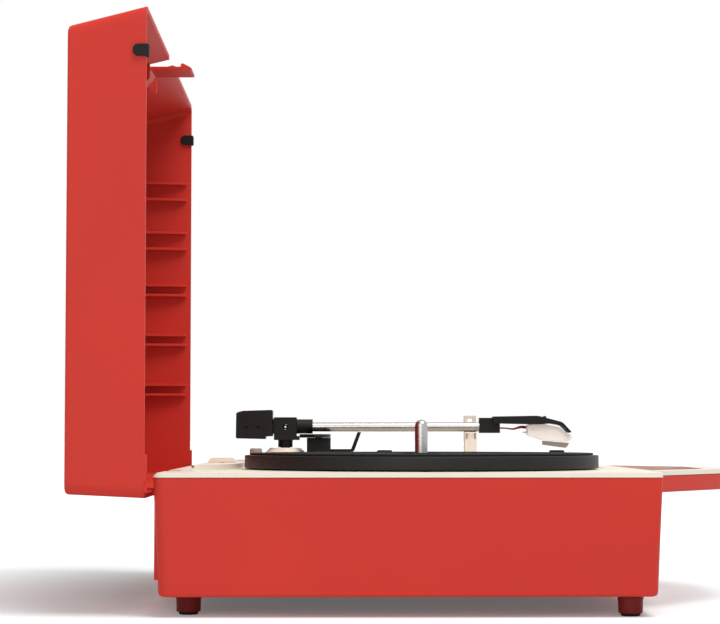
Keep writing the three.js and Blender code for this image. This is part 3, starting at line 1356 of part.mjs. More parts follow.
function latchTongue() {
  const outer = LID_FRONT + LATCH_INSET;
  const inner = outer + LATCH_THICKNESS;
  const hook = LID_BASE - LATCH_HOOK_DEPTH;
  const end = LID_BASE - LATCH_LENGTH;
  const blade = roundedOutline([
    [outer, LID_BASE + 12],
    [outer, LID_BASE + 1.4],
    [outer - 0.8, LID_BASE - 1.2],
    [outer, LID_BASE - 3],
    [outer, hook],
    [outer - LATCH_CATCH + 0.4, hook - 0.2],
    [outer - LATCH_CATCH, hook - 1.2],
    [outer, end + 1.4],
    [outer + 1.2, end],
    [inner, end + 0.8],
    [inner, LID_BASE + 12],
  ]);
  const [pinY, pinZ] = latchPinAt;
  const web = roundedOutline([
    [outer, LID_BASE + 11],
    [inner, LID_BASE + 11],
    [pinY + 1.6, pinZ - 1.8],
    [pinY - 1, pinZ + 2.2],
  ]);
  const xs = [-LATCH_WIDTH / 2, LATCH_WIDTH / 2];
  return cut(
    join(prismAlongX(blade, xs), prismAlongX(web, xs), rodAlongX(xs, latchPinAt, LATCH_BARREL_RADIUS)),
    rodAlongX([xs[0] - CUT_PAST, xs[1] + CUT_PAST], latchPinAt, LATCH_PIN_RADIUS + 0.15),
  );
}
add(lid, 'latch_tongue', RED, latchTongue());
const latchPinHalf = LATCH_WINDOW_HALF + 4;
add(lid, 'latch_pin', STEEL, rodAlongX([-latchPinHalf, latchPinHalf], latchPinAt, LATCH_PIN_RADIUS));
const springSpan = [LATCH_WIDTH / 2 + 0.5, LATCH_WINDOW_HALF];
add(
  lid,
  'latch_spring',
  STEEL,
  cut(
    rodAlongX(springSpan, latchPinAt, 2.4),
    rodAlongX([springSpan[0] - CUT_PAST, springSpan[1] + CUT_PAST], latchPinAt, LATCH_PIN_RADIUS + 0.4),
  ),
);

export default player;
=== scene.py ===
"""Portable record player: finished meshes and materials, laid out as an add-on and run as a script.

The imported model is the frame. Each operator makes the finished mesh of one piece, or of a few like
pieces, in the CAD nodes' own places, and gives it a procedural material.
"""

import json
import math

import bmesh
import bpy
from mathutils import Matrix, Vector


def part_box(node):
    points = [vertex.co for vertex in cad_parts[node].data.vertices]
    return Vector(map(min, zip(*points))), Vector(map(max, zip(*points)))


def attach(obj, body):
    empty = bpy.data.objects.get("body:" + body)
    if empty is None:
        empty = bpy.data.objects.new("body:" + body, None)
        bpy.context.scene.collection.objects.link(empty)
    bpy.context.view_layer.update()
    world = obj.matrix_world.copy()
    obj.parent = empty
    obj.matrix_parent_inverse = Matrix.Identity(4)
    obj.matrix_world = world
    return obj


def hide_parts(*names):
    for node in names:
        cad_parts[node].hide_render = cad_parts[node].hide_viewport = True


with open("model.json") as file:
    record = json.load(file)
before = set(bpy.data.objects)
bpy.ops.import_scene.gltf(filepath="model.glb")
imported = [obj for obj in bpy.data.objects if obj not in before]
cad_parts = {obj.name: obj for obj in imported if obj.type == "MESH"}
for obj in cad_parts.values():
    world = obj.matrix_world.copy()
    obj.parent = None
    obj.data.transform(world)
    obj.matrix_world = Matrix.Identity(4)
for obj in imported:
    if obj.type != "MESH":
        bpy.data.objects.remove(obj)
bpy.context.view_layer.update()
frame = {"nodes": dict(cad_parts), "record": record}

bl_info = {
    "name": "Portable Record Player",
    "version": (1, 0, 0),
    "blender": (4, 5, 0),
    "location": "3D View > Sidebar > Player",
    "description": "Finished meshes and materials for the pieces of a portable record player",
    "category": "Object",
}

MM = 0.001
X, Y, Z = range(3)
AXES = [Vector((1, 0, 0)), Vector((0, 1, 0)), Vector((0, 0, 1))]
POINT_MERGE = 0.002 * MM  # points closer than this are one point
PLANE_TOLERANCE = 0.001 * MM
CAD_MERGE = 0.01 * MM
SEAT_GAP = 0.3 * MM  # between two pieces that rest on or fit into each other
CUE_BLOCK_RISE = 0.2 * MM
PLATTER_BORE = 3.8 * MM
SPINDLE_RADIUS = 3.6 * MM
PLASTIC_GRAIN = 2600.0
PLASTIC_SPECULAR = 0.14
PALER = 1.3  # the painted edge highlight, partly rubbed wear, and the scratches, against the plain colour
SIDES = ("left", "right")
CORNERS = ("front_left", "front_right", "rear_left", "rear_right")
SLOT_OF = {part["node"]: part["material_slot"] for part in frame["record"]["subparts"]}
BODIES = frame["record"]["behaviour"]["bodies"]
BODY_OF = {node: body for body, nodes in BODIES.items() for node in nodes}


# ---------------------------------------------------------------- sizes and colours


def linear(red, green, blue):
    """A display colour from 0 to 255 as the linear values that Blender keeps."""

    def channel(value):
        share = value / 255
        return share / 12.92 if share <= 0.04045 else ((share + 0.055) / 1.055) ** 2.4

    return channel(red), channel(green), channel(blue)


def length(name, description, millimetres):
    return bpy.props.FloatProperty(
        name=name,
        description=description,
        default=millimetres * MM,
        min=0,
        precision=5,
        unit="LENGTH",
    )


def count(name, description, default, least):
    return bpy.props.IntProperty(name=name, description=description, default=default, min=least)


def colour(name, description, *display):
    return bpy.props.FloatVectorProperty(
        name=name,
        description=description,
        default=linear(*display),
        min=0,
        max=1,
        subtype="COLOR",
    )


class PlayerSizes(bpy.types.PropertyGroup):
    """Sizes of the fine detail that the finished meshes add"""

    shell_edge: length("Shell edge", "Rounding along the edges of the case, deck and lid", 0.6)
    part_edge: length("Part edge", "Rounding along the edges of the small moulded parts", 0.4)
    fine_edge: length("Fine edge", "Rounding along the edges of thin parts", 0.22)
    groove_pitch: length("Groove pitch", "Distance from one ring of the mat to the next", 1.7)
    groove_depth: length("Groove depth", "Depth of the rings pressed into the mat", 0.3)
    lead_radius: length("Lead radius", "Radius of the two cartridge leads", 0.45)
    spring_wire: length("Spring wire", "Radius of the latch spring's wire", 0.3)
    round_steps: count("Round steps", "Steps round a full turn of a large round piece", 144, 48)
    knob_ribs: count("Knob ribs", "Number of upright ribs round a control knob", 24, 8)


class PlayerColours(bpy.types.PropertyGroup):
    """Colours of the finishes"""

    case_red: colour("Case red", "Moulded plastic of the case and lid", 205, 57, 46)
    foot_red: colour("Foot red", "Moulded plastic of the foot cups", 112, 28, 24)
    deck_cream: colour("Deck cream", "Moulded plastic of the deck", 240, 230, 214)
    black_plastic: colour("Black plastic", "Moulded plastic of arm and controls", 31, 30, 29)
    black_rubber: colour("Black rubber", "Mat, foot pads, clips and belt", 30, 30, 30)
    platter_black: colour("Platter black", "Painted platter", 40, 39, 38)
    bright_steel: colour("Bright steel", "Polished spindle and tonearm tube", 178, 175, 172)
    motor_steel: colour("Motor steel", "Zinc-plated steel", 168, 168, 166)
    brass: colour("Brass", "Pulley and socket collars", 196, 158, 92)
    white_plastic: colour("White plastic", "Cartridge body and washer", 250, 244, 241)
    grey_plastic: colour("Grey plastic", "Stylus guard and pitch knob", 158, 150, 145)
    board_green: colour("Board green", "Solder mask of the circuit board", 30, 92, 56)
    cone_paper: colour("Cone paper", "Pressed paper of the speaker cones", 52, 49, 46)
    lead_red: colour("Lead red", "Insulation of the red lead", 176, 32, 44)


def sizes():
    return bpy.context.scene.player_sizes


# ---------------------------------------------------------------- shader helpers


def add_node(tree, kind, inputs=None, **settings):
    node = tree.nodes.new(kind)
    for name, value in settings.items():
        setattr(node, name, value)
    for key, value in (inputs or {}).items():
        if isinstance(value, bpy.types.NodeSocket):
            tree.links.new(value, node.inputs[key])
        else:
            node.inputs[key].default_value = value
    return node


def maths(tree, operation, first, second=0.0, clamp=False):
    settings = {"operation": operation, "use_clamp": clamp}
    return add_node(tree, "ShaderNodeMath", {0: first, 1: second}, **settings).outputs[0]


def blend_colours(tree, factor, first, second):
    node = add_node(tree, "ShaderNodeMix", data_type="RGBA")
    for index, value in ((0, factor), (6, first), (7, second)):
        if isinstance(value, bpy.types.NodeSocket):
            tree.links.new(value, node.inputs[index])
        else:
            node.inputs[index].default_value = value
    return node.outputs[2]


def remap(tree, value, low, high, to_low, to_high):
    ends = {"From Min": low, "From Max": high, "To Min": to_low, "To Max": to_high}
    return add_node(tree, "ShaderNodeMapRange", {"Value": value, **ends}).outputs[0]


def noise(tree, vector, scale, detail, **inputs):
    inputs = {"Vector": vector, "Scale": scale, "Detail": detail, **inputs}
    return add_node(tree, "ShaderNodeTexNoise", inputs).outputs["Fac"]


def mapped(tree, vector, **inputs):
    return add_node(tree, "ShaderNodeMapping", {"Vector": vector, **inputs}).outputs[0]


def raise_surface(tree, shader, height, strength, distance):
    """Feeds a height through a Bump node into the shader's normal."""
    inputs = {"Height": height, "Strength": strength, "Distance": distance}
    bump = add_node(tree, "ShaderNodeBump", inputs)
    tree.links.new(bump.outputs[0], shader.inputs["Normal"])


def effect_group(name, inputs, outputs):
    """An empty node group with a Vector input and named float inputs and outputs."""
    group = bpy.data.node_groups.new(name, "ShaderNodeTree")
    add_socket = group.interface.new_socket
    add_socket("Vector", in_out="INPUT", socket_type="NodeSocketVector")
    for socket_name, default in inputs.items():
        socket = add_socket(socket_name, in_out="INPUT", socket_type="NodeSocketFloat")
        socket.default_value = default
    for socket_name in outputs:
        add_socket(socket_name, in_out="OUTPUT", socket_type="NodeSocketFloat")
    ends = group.nodes.new("NodeGroupInput"), group.nodes.new("NodeGroupOutput")
    return group, ends[0].outputs, ends[1].inputs


def make_grain_group():
    """Spark-eroded mould texture: fine rounded pits over a softer, wider unevenness."""
    group, inputs, outputs = effect_group(
        "moulded_grain", {"Scale": PLASTIC_GRAIN, "Coarse": 0.3}, ["Height"]
    )
    vector, scale = inputs["Vector"], inputs["Scale"]
    cells = {"Vector": vector, "Scale": scale, "Randomness": 1.0}
    pits = add_node(group, "ShaderNodeTexVoronoi", cells).outputs["Distance"]
    fine = noise(group, vector, scale, 2.0)
    wide = noise(group, vector, maths(group, "MULTIPLY", scale, 0.02), 1.0)
    small = maths(group, "ADD", maths(group, "MULTIPLY", pits, 0.6), fine)
    large = maths(group, "MULTIPLY", wide, inputs["Coarse"])
    group.links.new(maths(group, "ADD", small, large), outputs["Height"])
    return group


def make_handling_and_highlight_group():
    """Marks of use and painted light: cloudy variation, fine hairline scratches, and an edge mask
    that paints edges paler, partly as rubbed wear and partly as a painted highlight.
    """
    group, inputs, outputs = effect_group(
        "handling", {"Edge Width": 0.0006, "Cloud Scale": 9.0}, ["Cloud", "Scratch", "Edge"]
    )
    vector = inputs["Vector"]
    cloud = noise(group, vector, inputs["Cloud Scale"], 4.0)
    group.links.new(cloud, outputs["Cloud"])
    drawn = mapped(group, vector, Rotation=(0.5, 0.9, 0.4), Scale=(14, 900, 240))
    hair = noise(group, drawn, 1.0, 1.0)
    patch = noise(group, vector, 26.0, 1.0)
    lines = remap(group, hair, 0.66, 0.72, 0.0, 1.0)
    where = remap(group, patch, 0.5, 0.7, 0.0, 1.0)
    group.links.new(maths(group, "MULTIPLY", lines, where, clamp=True), outputs["Scratch"])
    # Edge mask: in patches, where the rounded normal turns from the flat one; the finishes paint
    # these edges paler, as a painted highlight and as rubbed wear.
    rounded = add_node(group, "ShaderNodeBevel", {"Radius": inputs["Edge Width"]}, samples=4)
    flat = add_node(group, "ShaderNodeNewGeometry").outputs["Normal"]
    normals = {0: rounded.outputs[0], 1: flat}
    dot = add_node(group, "ShaderNodeVectorMath", normals, operation="DOT_PRODUCT")
    turn = maths(group, "SUBTRACT", 1.0, dot.outputs["Value"])
    edge = maths(group, "MULTIPLY", remap(group, turn, 0.02, 0.2, 0.0, 1.0), patch)
    group.links.new(edge, outputs["Edge"])
    return group


def make_brushed_group():
    """Fine parallel lines left by polishing, along the way the vector is stretched."""
    group, inputs, outputs = effect_group("brushed", {"Scale": 1.0}, ["Lines"])
    lines = noise(group, inputs["Vector"], inputs["Scale"], 5.0)
    group.links.new(lines, outputs["Lines"])
    return group


GROUP_MAKERS = {
    "moulded_grain": make_grain_group,
    "handling": make_handling_and_highlight_group,
    "brushed": make_brushed_group,
}


def place_group(tree, name, **inputs):
    group = bpy.data.node_groups.get(name) or GROUP_MAKERS[name]()
    node = tree.nodes.new("ShaderNodeGroup")
    node.node_tree = group
    for key, value in inputs.items():
        socket = node.inputs[key.replace("_", " ")]
        if isinstance(value, bpy.types.NodeSocket):
            tree.links.new(value, socket)
        else:
            socket.default_value = value
    return node.outputs


def shade(rgb, factor):
    return tuple(min(1.0, value * factor) for value in rgb) + (1.0,)


def start_material(name):
    material = bpy.data.materials.new(name)
    material.use_nodes = True
    tree = material.node_tree
    shader = tree.nodes["Principled BSDF"]
    coordinates = add_node(tree, "ShaderNodeTexCoord").outputs["Object"]
    return material, tree, shader, coordinates


def moulded(name, rgb, roughness, grain=PLASTIC_GRAIN, depth=0.03, edge_highlight_and_wear=0.1, coat=0.0):
    """A moulded plastic or rubber: textured skin, cloudy tone, hairlines, and paler edges that are
    partly rubbed wear and partly a painted highlight.
    """
    material, tree, shader, place = start_material(name)
    marks = place_group(tree, "handling", Vector=place)
    texture = place_group(tree, "moulded_grain", Vector=place, Scale=grain)
    tone = remap(tree, marks["Cloud"], 0.3, 0.7, 0.0, 1.0)
    body = blend_colours(tree, tone, shade(rgb, 0.95), shade(rgb, 1.045))
    # Painted highlight and wear: the edges are blended towards this paler colour, and the scratches
    # take it too.
    pale = shade(rgb, PALER)
    edge = maths(tree, "MULTIPLY", marks["Edge"], edge_highlight_and_wear)
    body = blend_colours(tree, edge, body, pale)
    body = blend_colours(tree, maths(tree, "MULTIPLY", marks["Scratch"], 0.03), body, pale)
    tree.links.new(body, shader.inputs["Base Color"])
    rough = remap(tree, marks["Cloud"], 0.25, 0.75, roughness - 0.07, roughness + 0.07)
    polish = maths(tree, "MULTIPLY", marks["Edge"], 0.12)
    rough = maths(tree, "SUBTRACT", rough, polish, clamp=True)
    tree.links.new(rough, shader.inputs["Roughness"])
    raise_surface(tree, shader, texture["Height"], 0.5, depth * MM)
    shader.inputs["Specular IOR Level"].default_value = PLASTIC_SPECULAR
    shader.inputs["Coat Weight"].default_value = coat
    shader.inputs["Coat Roughness"].default_value = 0.25
    return material


def metal(name, rgb, roughness, stretch):
    """A bare or plated metal with polishing lines along one direction."""
    material, tree, shader, place = start_material(name)
    drawn = mapped(tree, place, Scale=stretch)
    lines = place_group(tree, "brushed", Vector=drawn)["Lines"]
    marks = place_group(tree, "handling", Vector=place, Cloud_Scale=40.0)
    tone = remap(tree, marks["Cloud"], 0.3, 0.7, 0, 1)
    tint = blend_colours(tree, tone, shade(rgb, 0.93), shade(rgb, 1.03))
    tree.links.new(tint, shader.inputs["Base Color"])
    shader.inputs["Metallic"].default_value = 1.0
    rough = remap(tree, lines, 0.3, 0.7, roughness * 0.75, roughness * 1.3)
    scuffed = maths(tree, "MULTIPLY", marks["Scratch"], 0.15)
    rough = maths(tree, "ADD", rough, scuffed, clamp=True)
    tree.links.new(rough, shader.inputs["Roughness"])
    raise_surface(tree, shader, lines, 0.12, 0.01 * MM)
    return material


def board_finish(name, rgb):
    """A printed board: solder mask over copper tracks, with tinned pads."""
    material, tree, shader, place = start_material(name)
    bricks = {"Vector": place, "Scale": 90.0, "Mortar Size": 0.03, "Brick Width": 0.9}
    tracks = add_node(tree, "ShaderNodeTexBrick", bricks).outputs["Fac"]
    cells = {"Vector": place, "Scale": 240.0, "Randomness": 0.2}
    spots = add_node(tree, "ShaderNodeTexVoronoi", cells).outputs["Distance"]
    pads = remap(tree, spots, 0.1, 0.16, 1.0, 0.0)
    body = blend_colours(tree, tracks, shade(rgb, 1.0), shade(rgb, 1.8))
    body = blend_colours(tree, pads, body, linear(190, 188, 180) + (1.0,))
    tree.links.new(body, shader.inputs["Base Color"])
    tree.links.new(remap(tree, pads, 0, 1, 0.35, 0.22), shader.inputs["Roughness"])
    raise_surface(tree, shader, tracks, 0.4, 0.03 * MM)
    return material


def paper_finish(name, rgb):
    """Pressed paper: matted fibres, soft and dull."""
    material, tree, shader, place = start_material(name)
    drawn = mapped(tree, place, Scale=(1400, 500, 1400))
    fibres = noise(tree, drawn, 1.0, 6.0, Distortion=2.0)
    tone = remap(tree, fibres, 0.35, 0.65, 0, 1)
    body = blend_colours(tree, tone, shade(rgb, 0.7), shade(rgb, 1.35))
    tree.links.new(body, shader.inputs["Base Color"])
    rough = remap(tree, fibres, 0.3, 0.7, 0.85, 0.97)
    tree.links.new(rough, shader.inputs["Roughness"])
    raise_surface(tree, shader, fibres, 0.6, 0.08 * MM)
    return material


# Each slot's maker, its roughness and the rest of what the maker takes.
# The edge amount in an entry sets how far its edges are painted paler, partly as a highlight and
# partly as rubbed wear.
FINISHES = {
    "case_red": (moulded, 0.5, {"grain": 2200.0, "depth": 0.035}),
    "foot_red": (moulded, 0.5, {"grain": 2200.0, "depth": 0.035}),
    "deck_cream": (moulded, 0.44, {"grain": 2800.0, "depth": 0.025, "edge_highlight_and_wear": 0.06}),
    "black_plastic": (moulded, 0.45, {"grain": 3000.0, "depth": 0.035}),
    "black_rubber": (moulded, 0.72, {"grain": 3400.0, "depth": 0.05, "edge_highlight_and_wear": 0.08}),
    "platter_black": (moulded, 0.42, {"grain": 3600.0, "depth": 0.02}),
    "white_plastic": (moulded, 0.34, {"grain": 3800.0, "depth": 0.012, "edge_highlight_and_wear": 0.05, "coat": 0.2}),
    "grey_plastic": (moulded, 0.44, {"grain": 3200.0, "depth": 0.03}),
    "lead_red": (moulded, 0.4, {"grain": 6000.0, "depth": 0.01, "edge_highlight_and_wear": 0.0}),
    "bright_steel": (metal, 0.25, {"stretch": (900, 40, 900)}),
    "motor_steel": (metal, 0.32, {"stretch": (500, 500, 60)}),
    "brass": (metal, 0.28, {"stretch": (600, 80, 600)}),
}


def finish(slot):
    """The finish of a material slot, made once."""
    name = slot + "_finish"
    made = bpy.data.materials.get(name)
    if made:
        return made
    rgb = tuple(getattr(bpy.context.scene.player_colours, slot))
    if slot == "board_green":
        return board_finish(name, rgb)
    if slot == "cone_paper":
        return paper_finish(name, rgb)
    make, roughness, more = FINISHES[slot]
    return make(name, rgb, roughness, **more)


# ---------------------------------------------------------------- mesh helpers


def middle(node):
    low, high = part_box(node)
    return (low + high) / 2


def round_box(node, across=X):
    """The corners of a round node's box, and the node's radius."""
    low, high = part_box(node)
    return low, high, (high[across] - low[across]) / 2


def cad_copy(node, flat_angle=1.0):
    """A bmesh copy of a CAD node, its loose triangles merged into whole faces."""
    bm = bmesh.new()
    bm.from_mesh(frame["nodes"][node].data)
    bmesh.ops.remove_doubles(bm, verts=bm.verts, dist=CAD_MERGE)
    flat = math.radians(flat_angle)
    bmesh.ops.dissolve_limit(bm, angle_limit=flat, verts=bm.verts, edges=bm.edges)
    return bm


def soften(bm, radius, segments=3, least_angle=38):
    """Rounds every edge at which two faces meet more sharply than the given angle."""
    least = math.radians(least_angle)
    edges = [e for e in bm.edges if len(e.link_faces) == 2 and e.calc_face_angle(0) > least]
    bmesh.ops.bevel(
        bm,
        geom=edges,
        offset=radius,
        offset_type="OFFSET",
        affect="EDGES",
        segments=segments,
        profile=0.5,
        material=-1,
        clamp_overlap=True,
    )
    return bm


def sink(bm, axis, side, spans, depth, draft=0.03 * MM):
    """Presses a rectangle of the faces that look along side * axis into the piece."""
    others = [i for i in (X, Y, Z) if i != axis]

    def facing():
        return [f for f in bm.faces if f.normal[axis] * side > 0.9]

    for index, span in zip(others, spans):
        plane = AXES[index]
        for value in span:
            faces = facing()
            edges = list({e for f in faces for e in f.edges})
            verts = list({v for f in faces for v in f.verts})
            bmesh.ops.bisect_plane(
                bm,
                geom=faces + edges + verts,
                dist=PLANE_TOLERANCE,
                plane_co=plane * value,
                plane_no=plane,
            )
    inside = []
    for face in facing():
        centre = face.calc_center_median()
        if all(min(span) < centre[i] < max(span) for i, span in zip(others, spans)):
            inside.append(face)
    if not inside:
        raise ValueError("nothing to press in there")
    bmesh.ops.inset_region(
        bm,
        faces=inside,
        thickness=draft,
        depth=-depth,
        use_even_offset=True,
        use_boundary=True,
    )


def turned(bm, profile, centre, axis=Z, steps=64):
    """Spins (radius, along) points about the axis through the centre."""
    out = AXES[X] if axis != X else AXES[Y]
    centre = Vector(centre)
    line = AXES[axis]
    foot = centre - line * centre.dot(line)
    before = set(bm.verts)
    verts = [bm.verts.new(foot + line * along + out * radius) for radius, along in profile]
    edges = [bm.edges.new(pair) for pair in zip(verts, verts[1:])]
    bmesh.ops.spin(
        bm,
        geom=verts + edges,
        cent=centre,
        axis=line,
        dvec=(0, 0, 0),
        angle=2 * math.pi,
        steps=steps,
        use_merge=True,
    )
    added = [v for v in bm.verts if v not in before]
    bmesh.ops.remove_doubles(bm, verts=added, dist=POINT_MERGE)
    added = [v for v in bm.verts if v not in before]
    faces = list({f for v in added for f in v.link_faces})
    bmesh.ops.recalc_face_normals(bm, faces=faces)


def bar(bm, low, high):
    """A block between two corners."""
    low, high = Vector(low), Vector(high)
    scale = Matrix.Diagonal((high - low).to_4d())
    scale[3][3] = 1
    bmesh.ops.create_cube(bm, size=1, matrix=Matrix.Translation((low + high) / 2) @ scale)


def piece(name, bm, nodes=(), slot=None, body=None, smooth=34):
    """Turns the mesh into an object that rides on its body and stands for its CAD nodes."""
    nodes = [nodes] if isinstance(nodes, str) else list(nodes)
    slot = slot or SLOT_OF[nodes[0]]
    bmesh.ops.remove_doubles(bm, verts=bm.verts, dist=POINT_MERGE)
    bmesh.ops.recalc_face_normals(bm, faces=bm.faces)
    mesh = bpy.data.meshes.new(name)
    bm.to_mesh(mesh)
    bm.free()
    mesh.shade_smooth()
    mesh.set_sharp_from_angle(angle=math.radians(smooth))
    mesh.materials.append(finish(slot))
    made = bpy.data.objects.new(name, mesh)
    bpy.context.scene.collection.objects.link(made)
    weighted = made.modifiers.new("flat_faces", "WEIGHTED_NORMAL")
    weighted.keep_sharp = True
    weighted.weight = 100
    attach(made, body or BODY_OF[nodes[0]])
    if nodes:
        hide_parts(*nodes)
    return made


def softened_copy(node, radius, segments=3, least_angle=38):
    """The usual finish of a moulded part: the CAD node's shape with its edges rounded."""
    bm = soften(cad_copy(node), radius, segments, least_angle)
    return piece(node + "_finished", bm, node)


def turned_piece(node, profile, axis=Z, steps=64, edge=0, segments=3, slot=None):
    """A piece that is one turned shape about its CAD node's own middle."""
    bm = bmesh.new()
    turned(bm, profile, middle(node), axis, steps)
    if edge:
        soften(bm, edge, segments)
    piece(node + "_finished", bm, node, slot)


def keep_node(node):
    """A CAD node whose shape is right as it is gets its finish on its own object."""
    data = frame["nodes"][node].data
    data.materials.clear()
    data.materials.append(finish(SLOT_OF[node]))


# ---------------------------------------------------------------- case


class PLAYER_OT_case(bpy.types.Operator):
    """The tub with its handle, and the deck plate over it"""

    bl_idname = "player.case"
    bl_label = "Case and deck"

    def execute(self, context):
        softened_copy("case_tub", sizes().shell_edge, least_angle=33)
        softened_copy("deck_plate", sizes().part_edge)
        return {"FINISHED"}


class PLAYER_OT_feet(bpy.types.Operator):
    """Foot cups with a stepped skirt, and ribbed rubber pads"""

    bl_idname = "player.feet"
    bl_label = "Feet"

    def execute(self, context):
        for corner in CORNERS:
            cup, pad = f"foot_cup_{corner}", f"foot_pad_{corner}"
            cup_low, cup_high, radius = round_box(cup)
            _, pad_high, pad_radius = round_box(pad)
            low, top, seat = cup_low.z, cup_high.z, pad_high.z + SEAT_GAP
            profile = [
                (0, top),
                (radius, top),
                (radius - 0.1 * MM, top - 1.6 * MM),
                (radius - 0.35 * MM, top - 2.0 * MM),
                (radius - 0.5 * MM, low),
                (pad_radius + SEAT_GAP, low),
                (pad_radius + SEAT_GAP, seat),
                (0, seat),
            ]
            turned_piece(cup, profile, edge=0.25 * MM)
            groove = 0.3 * MM
            profile = [(0, groove)]
            for share in (0.35, 0.62):
                at = pad_radius * share
                profile += [(at - 0.3 * MM, groove), (at - 0.3 * MM, 0)]
                profile += [(at + 0.3 * MM, 0), (at + 0.3 * MM, groove)]
            rim = pad_radius * 0.85
            profile += [(rim, groove), (rim, 0), (pad_radius - 0.5 * MM, 0)]
            profile += [(pad_radius, 0.6 * MM), (pad_radius, pad_high.z), (0, pad_high.z)]
            turned_piece(pad, profile, edge=0.1 * MM, segments=2)
        return {"FINISHED"}


class PLAYER_OT_screws(bpy.types.Operator):
    """Case screws with a domed head and a cross recess, up through the floor's posts"""

    bl_idname = "player.screws"
    bl_label = "Case screws"

    def execute(self, context):
        for corner in CORNERS:
            node = f"case_screw_{corner}"
            low, high, head = round_box(node)
            shank, pitch = 1.5 * MM, 1.2 * MM
            bm = bmesh.new()
            profile = [(0, low.z), (head * 0.7, low.z), (head, low.z + 0.6 * MM)]
            profile += [(head, low.z + 1.9 * MM), (shank, low.z + 1.9 * MM)]
            turns = int((high.z - low.z - 8 * MM) / pitch)
            for i in range(turns):
                at = low.z + 6 * MM + i * pitch
                profile += [(shank * 0.8, at), (shank, at + 0.5 * MM), (shank * 0.8, at + 1.0 * MM)]
            profile += [(0, high.z)]
            centre = middle(node)
            turned(bm, profile, centre, Z, 32)
            arm, half = 1.5 * MM, 0.35 * MM
            for x, y in ((arm, half), (half, arm)):
                spans = [(centre.x - x, centre.x + x), (centre.y - y, centre.y + y)]
                sink(bm, Z, -1, spans, 0.6 * MM)
            piece(node + "_finished", bm, node)
        return {"FINISHED"}


class PLAYER_OT_battery(bpy.types.Operator):
    """The tray inside the floor and the door with its thumb ridges"""

    bl_idname = "player.battery"
    bl_label = "Battery tray and door"

    def execute(self, context):
        softened_copy("battery_tray", sizes().fine_edge, 2)
        softened_copy("battery_door", sizes().fine_edge, 2)
        return {"FINISHED"}


class PLAYER_OT_sockets(bpy.types.Operator):
    """The socket panel: a power inlet with its centre pin and two line-out collars"""

    bl_idname = "player.sockets"
    bl_label = "Sockets"

    def execute(self, context):
        softened_copy("socket_plate", sizes().part_edge)
        low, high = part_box("dc_socket")
        centre = middle("dc_socket")
        plate_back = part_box("socket_plate")[0].y
        bm = bmesh.new()
        bar(bm, (low.x, low.y, low.z), (high.x, plate_back - SEAT_GAP, high.z))
        soften(bm, sizes().part_edge)
        nose, bore, back, tip = 4 * MM, 3 * MM, plate_back - 8 * MM, high.y
        barrel = [(bore, back), (bore, tip), (nose, tip), (nose, plate_back - 1 * MM)]
        turned(bm, barrel, centre, Y, 48)
        pin = [(0, back), (0.8 * MM, back), (0.8 * MM, tip - 1.4 * MM)]
        pin += [(0.4 * MM, tip - 1 * MM), (0, tip - 1 * MM)]
        turned(bm, pin, centre, Y, 24)
        piece("dc_socket_finished", bm, "dc_socket")
        low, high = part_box("line_socket")
        centre, tip = middle("line_socket"), high.y
        collars = bmesh.new()
        rings = bmesh.new()
        bar(collars, (low.x, low.y, low.z), (high.x, plate_back - SEAT_GAP, high.z))
        for offset in (-7 * MM, 7 * MM):
            at = centre + Vector((offset, 0, 0))
            inner, outer = 3.5 * MM, 4.2 * MM
            wall = [(inner, plate_back), (inner, tip), (outer, tip), (outer, plate_back)]
            turned(collars, wall, at, Y, 48)
            inner, outer, end = 1.7 * MM, 3.4 * MM, tip - 0.8 * MM
            insert = [(inner, plate_back), (inner, end), (outer, end), (outer, plate_back)]
            turned(rings, insert, at, Y, 48)
        piece("line_socket_finished", soften(collars, 0.15 * MM, 2), "line_socket")
        piece("line_socket_rings", soften(rings, 0.15 * MM, 2), (), "white_plastic", "base")
        return {"FINISHED"}


class PLAYER_OT_board(bpy.types.Operator):
    """The board's solid is right as it is and lies out of sight; it takes its printed finish"""

    bl_idname = "player.board"
    bl_label = "Circuit board"

    def execute(self, context):
        keep_node("circuit_board")
        return {"FINISHED"}


class PLAYER_OT_speakers(bpy.types.Operator):
    """Two loudspeakers: a pressed frame, a cone with a rolled surround and a dust cap"""

    bl_idname = "player.speakers"
    bl_label = "Speakers"

    def execute(self, context):
        for side in SIDES:
            frame_node, cone_node = f"speaker_frame_{side}", f"speaker_cone_{side}"
            low, high, radius = round_box(frame_node)
            face, depth = low.y, high.y - low.y
            shell = [
                (radius - 3 * MM, face),
                (radius, face),
                (radius, face + 2.5 * MM),
                (radius - 2 * MM, face + 2.5 * MM),
                (11 * MM, face + 12 * MM),
                (11 * MM, face + depth),
                (0, face + depth),
                (0, face + 13 * MM),
                (9 * MM, face + 11 * MM),
                (radius - 3 * MM, face + 1.5 * MM),
                (radius - 3 * MM, face),
            ]
            turned_piece(frame_node, shell, Y, 72, 0.3 * MM, 2)
            low, _, rim = round_box(cone_node)
            steps, roll_half = 6, 1.6 * MM
            roll = []
            for i in range(steps + 1):
                turn = math.pi * i / steps
                across = rim - roll_half + roll_half * math.cos(turn)
                roll.append((across, low.y + 0.9 * MM - 0.8 * MM * math.sin(turn)))
            cap, cap_foot = 7 * MM, face + 8 * MM
            front = roll + [(cap, cap_foot)]
            for i in range(1, steps + 1):
                turn = 0.5 * math.pi * i / steps
                front.append((cap * math.cos(turn), cap_foot - 2 * MM * math.sin(turn)))
            back = [(0, face + 12 * MM), (8 * MM, face + 10.2 * MM), (rim, low.y + 1.1 * MM)]
            turned_piece(cone_node, front + back + [roll[0]], Y, 72)
        return {"FINISHED"}


# ---------------------------------------------------------------- turntable


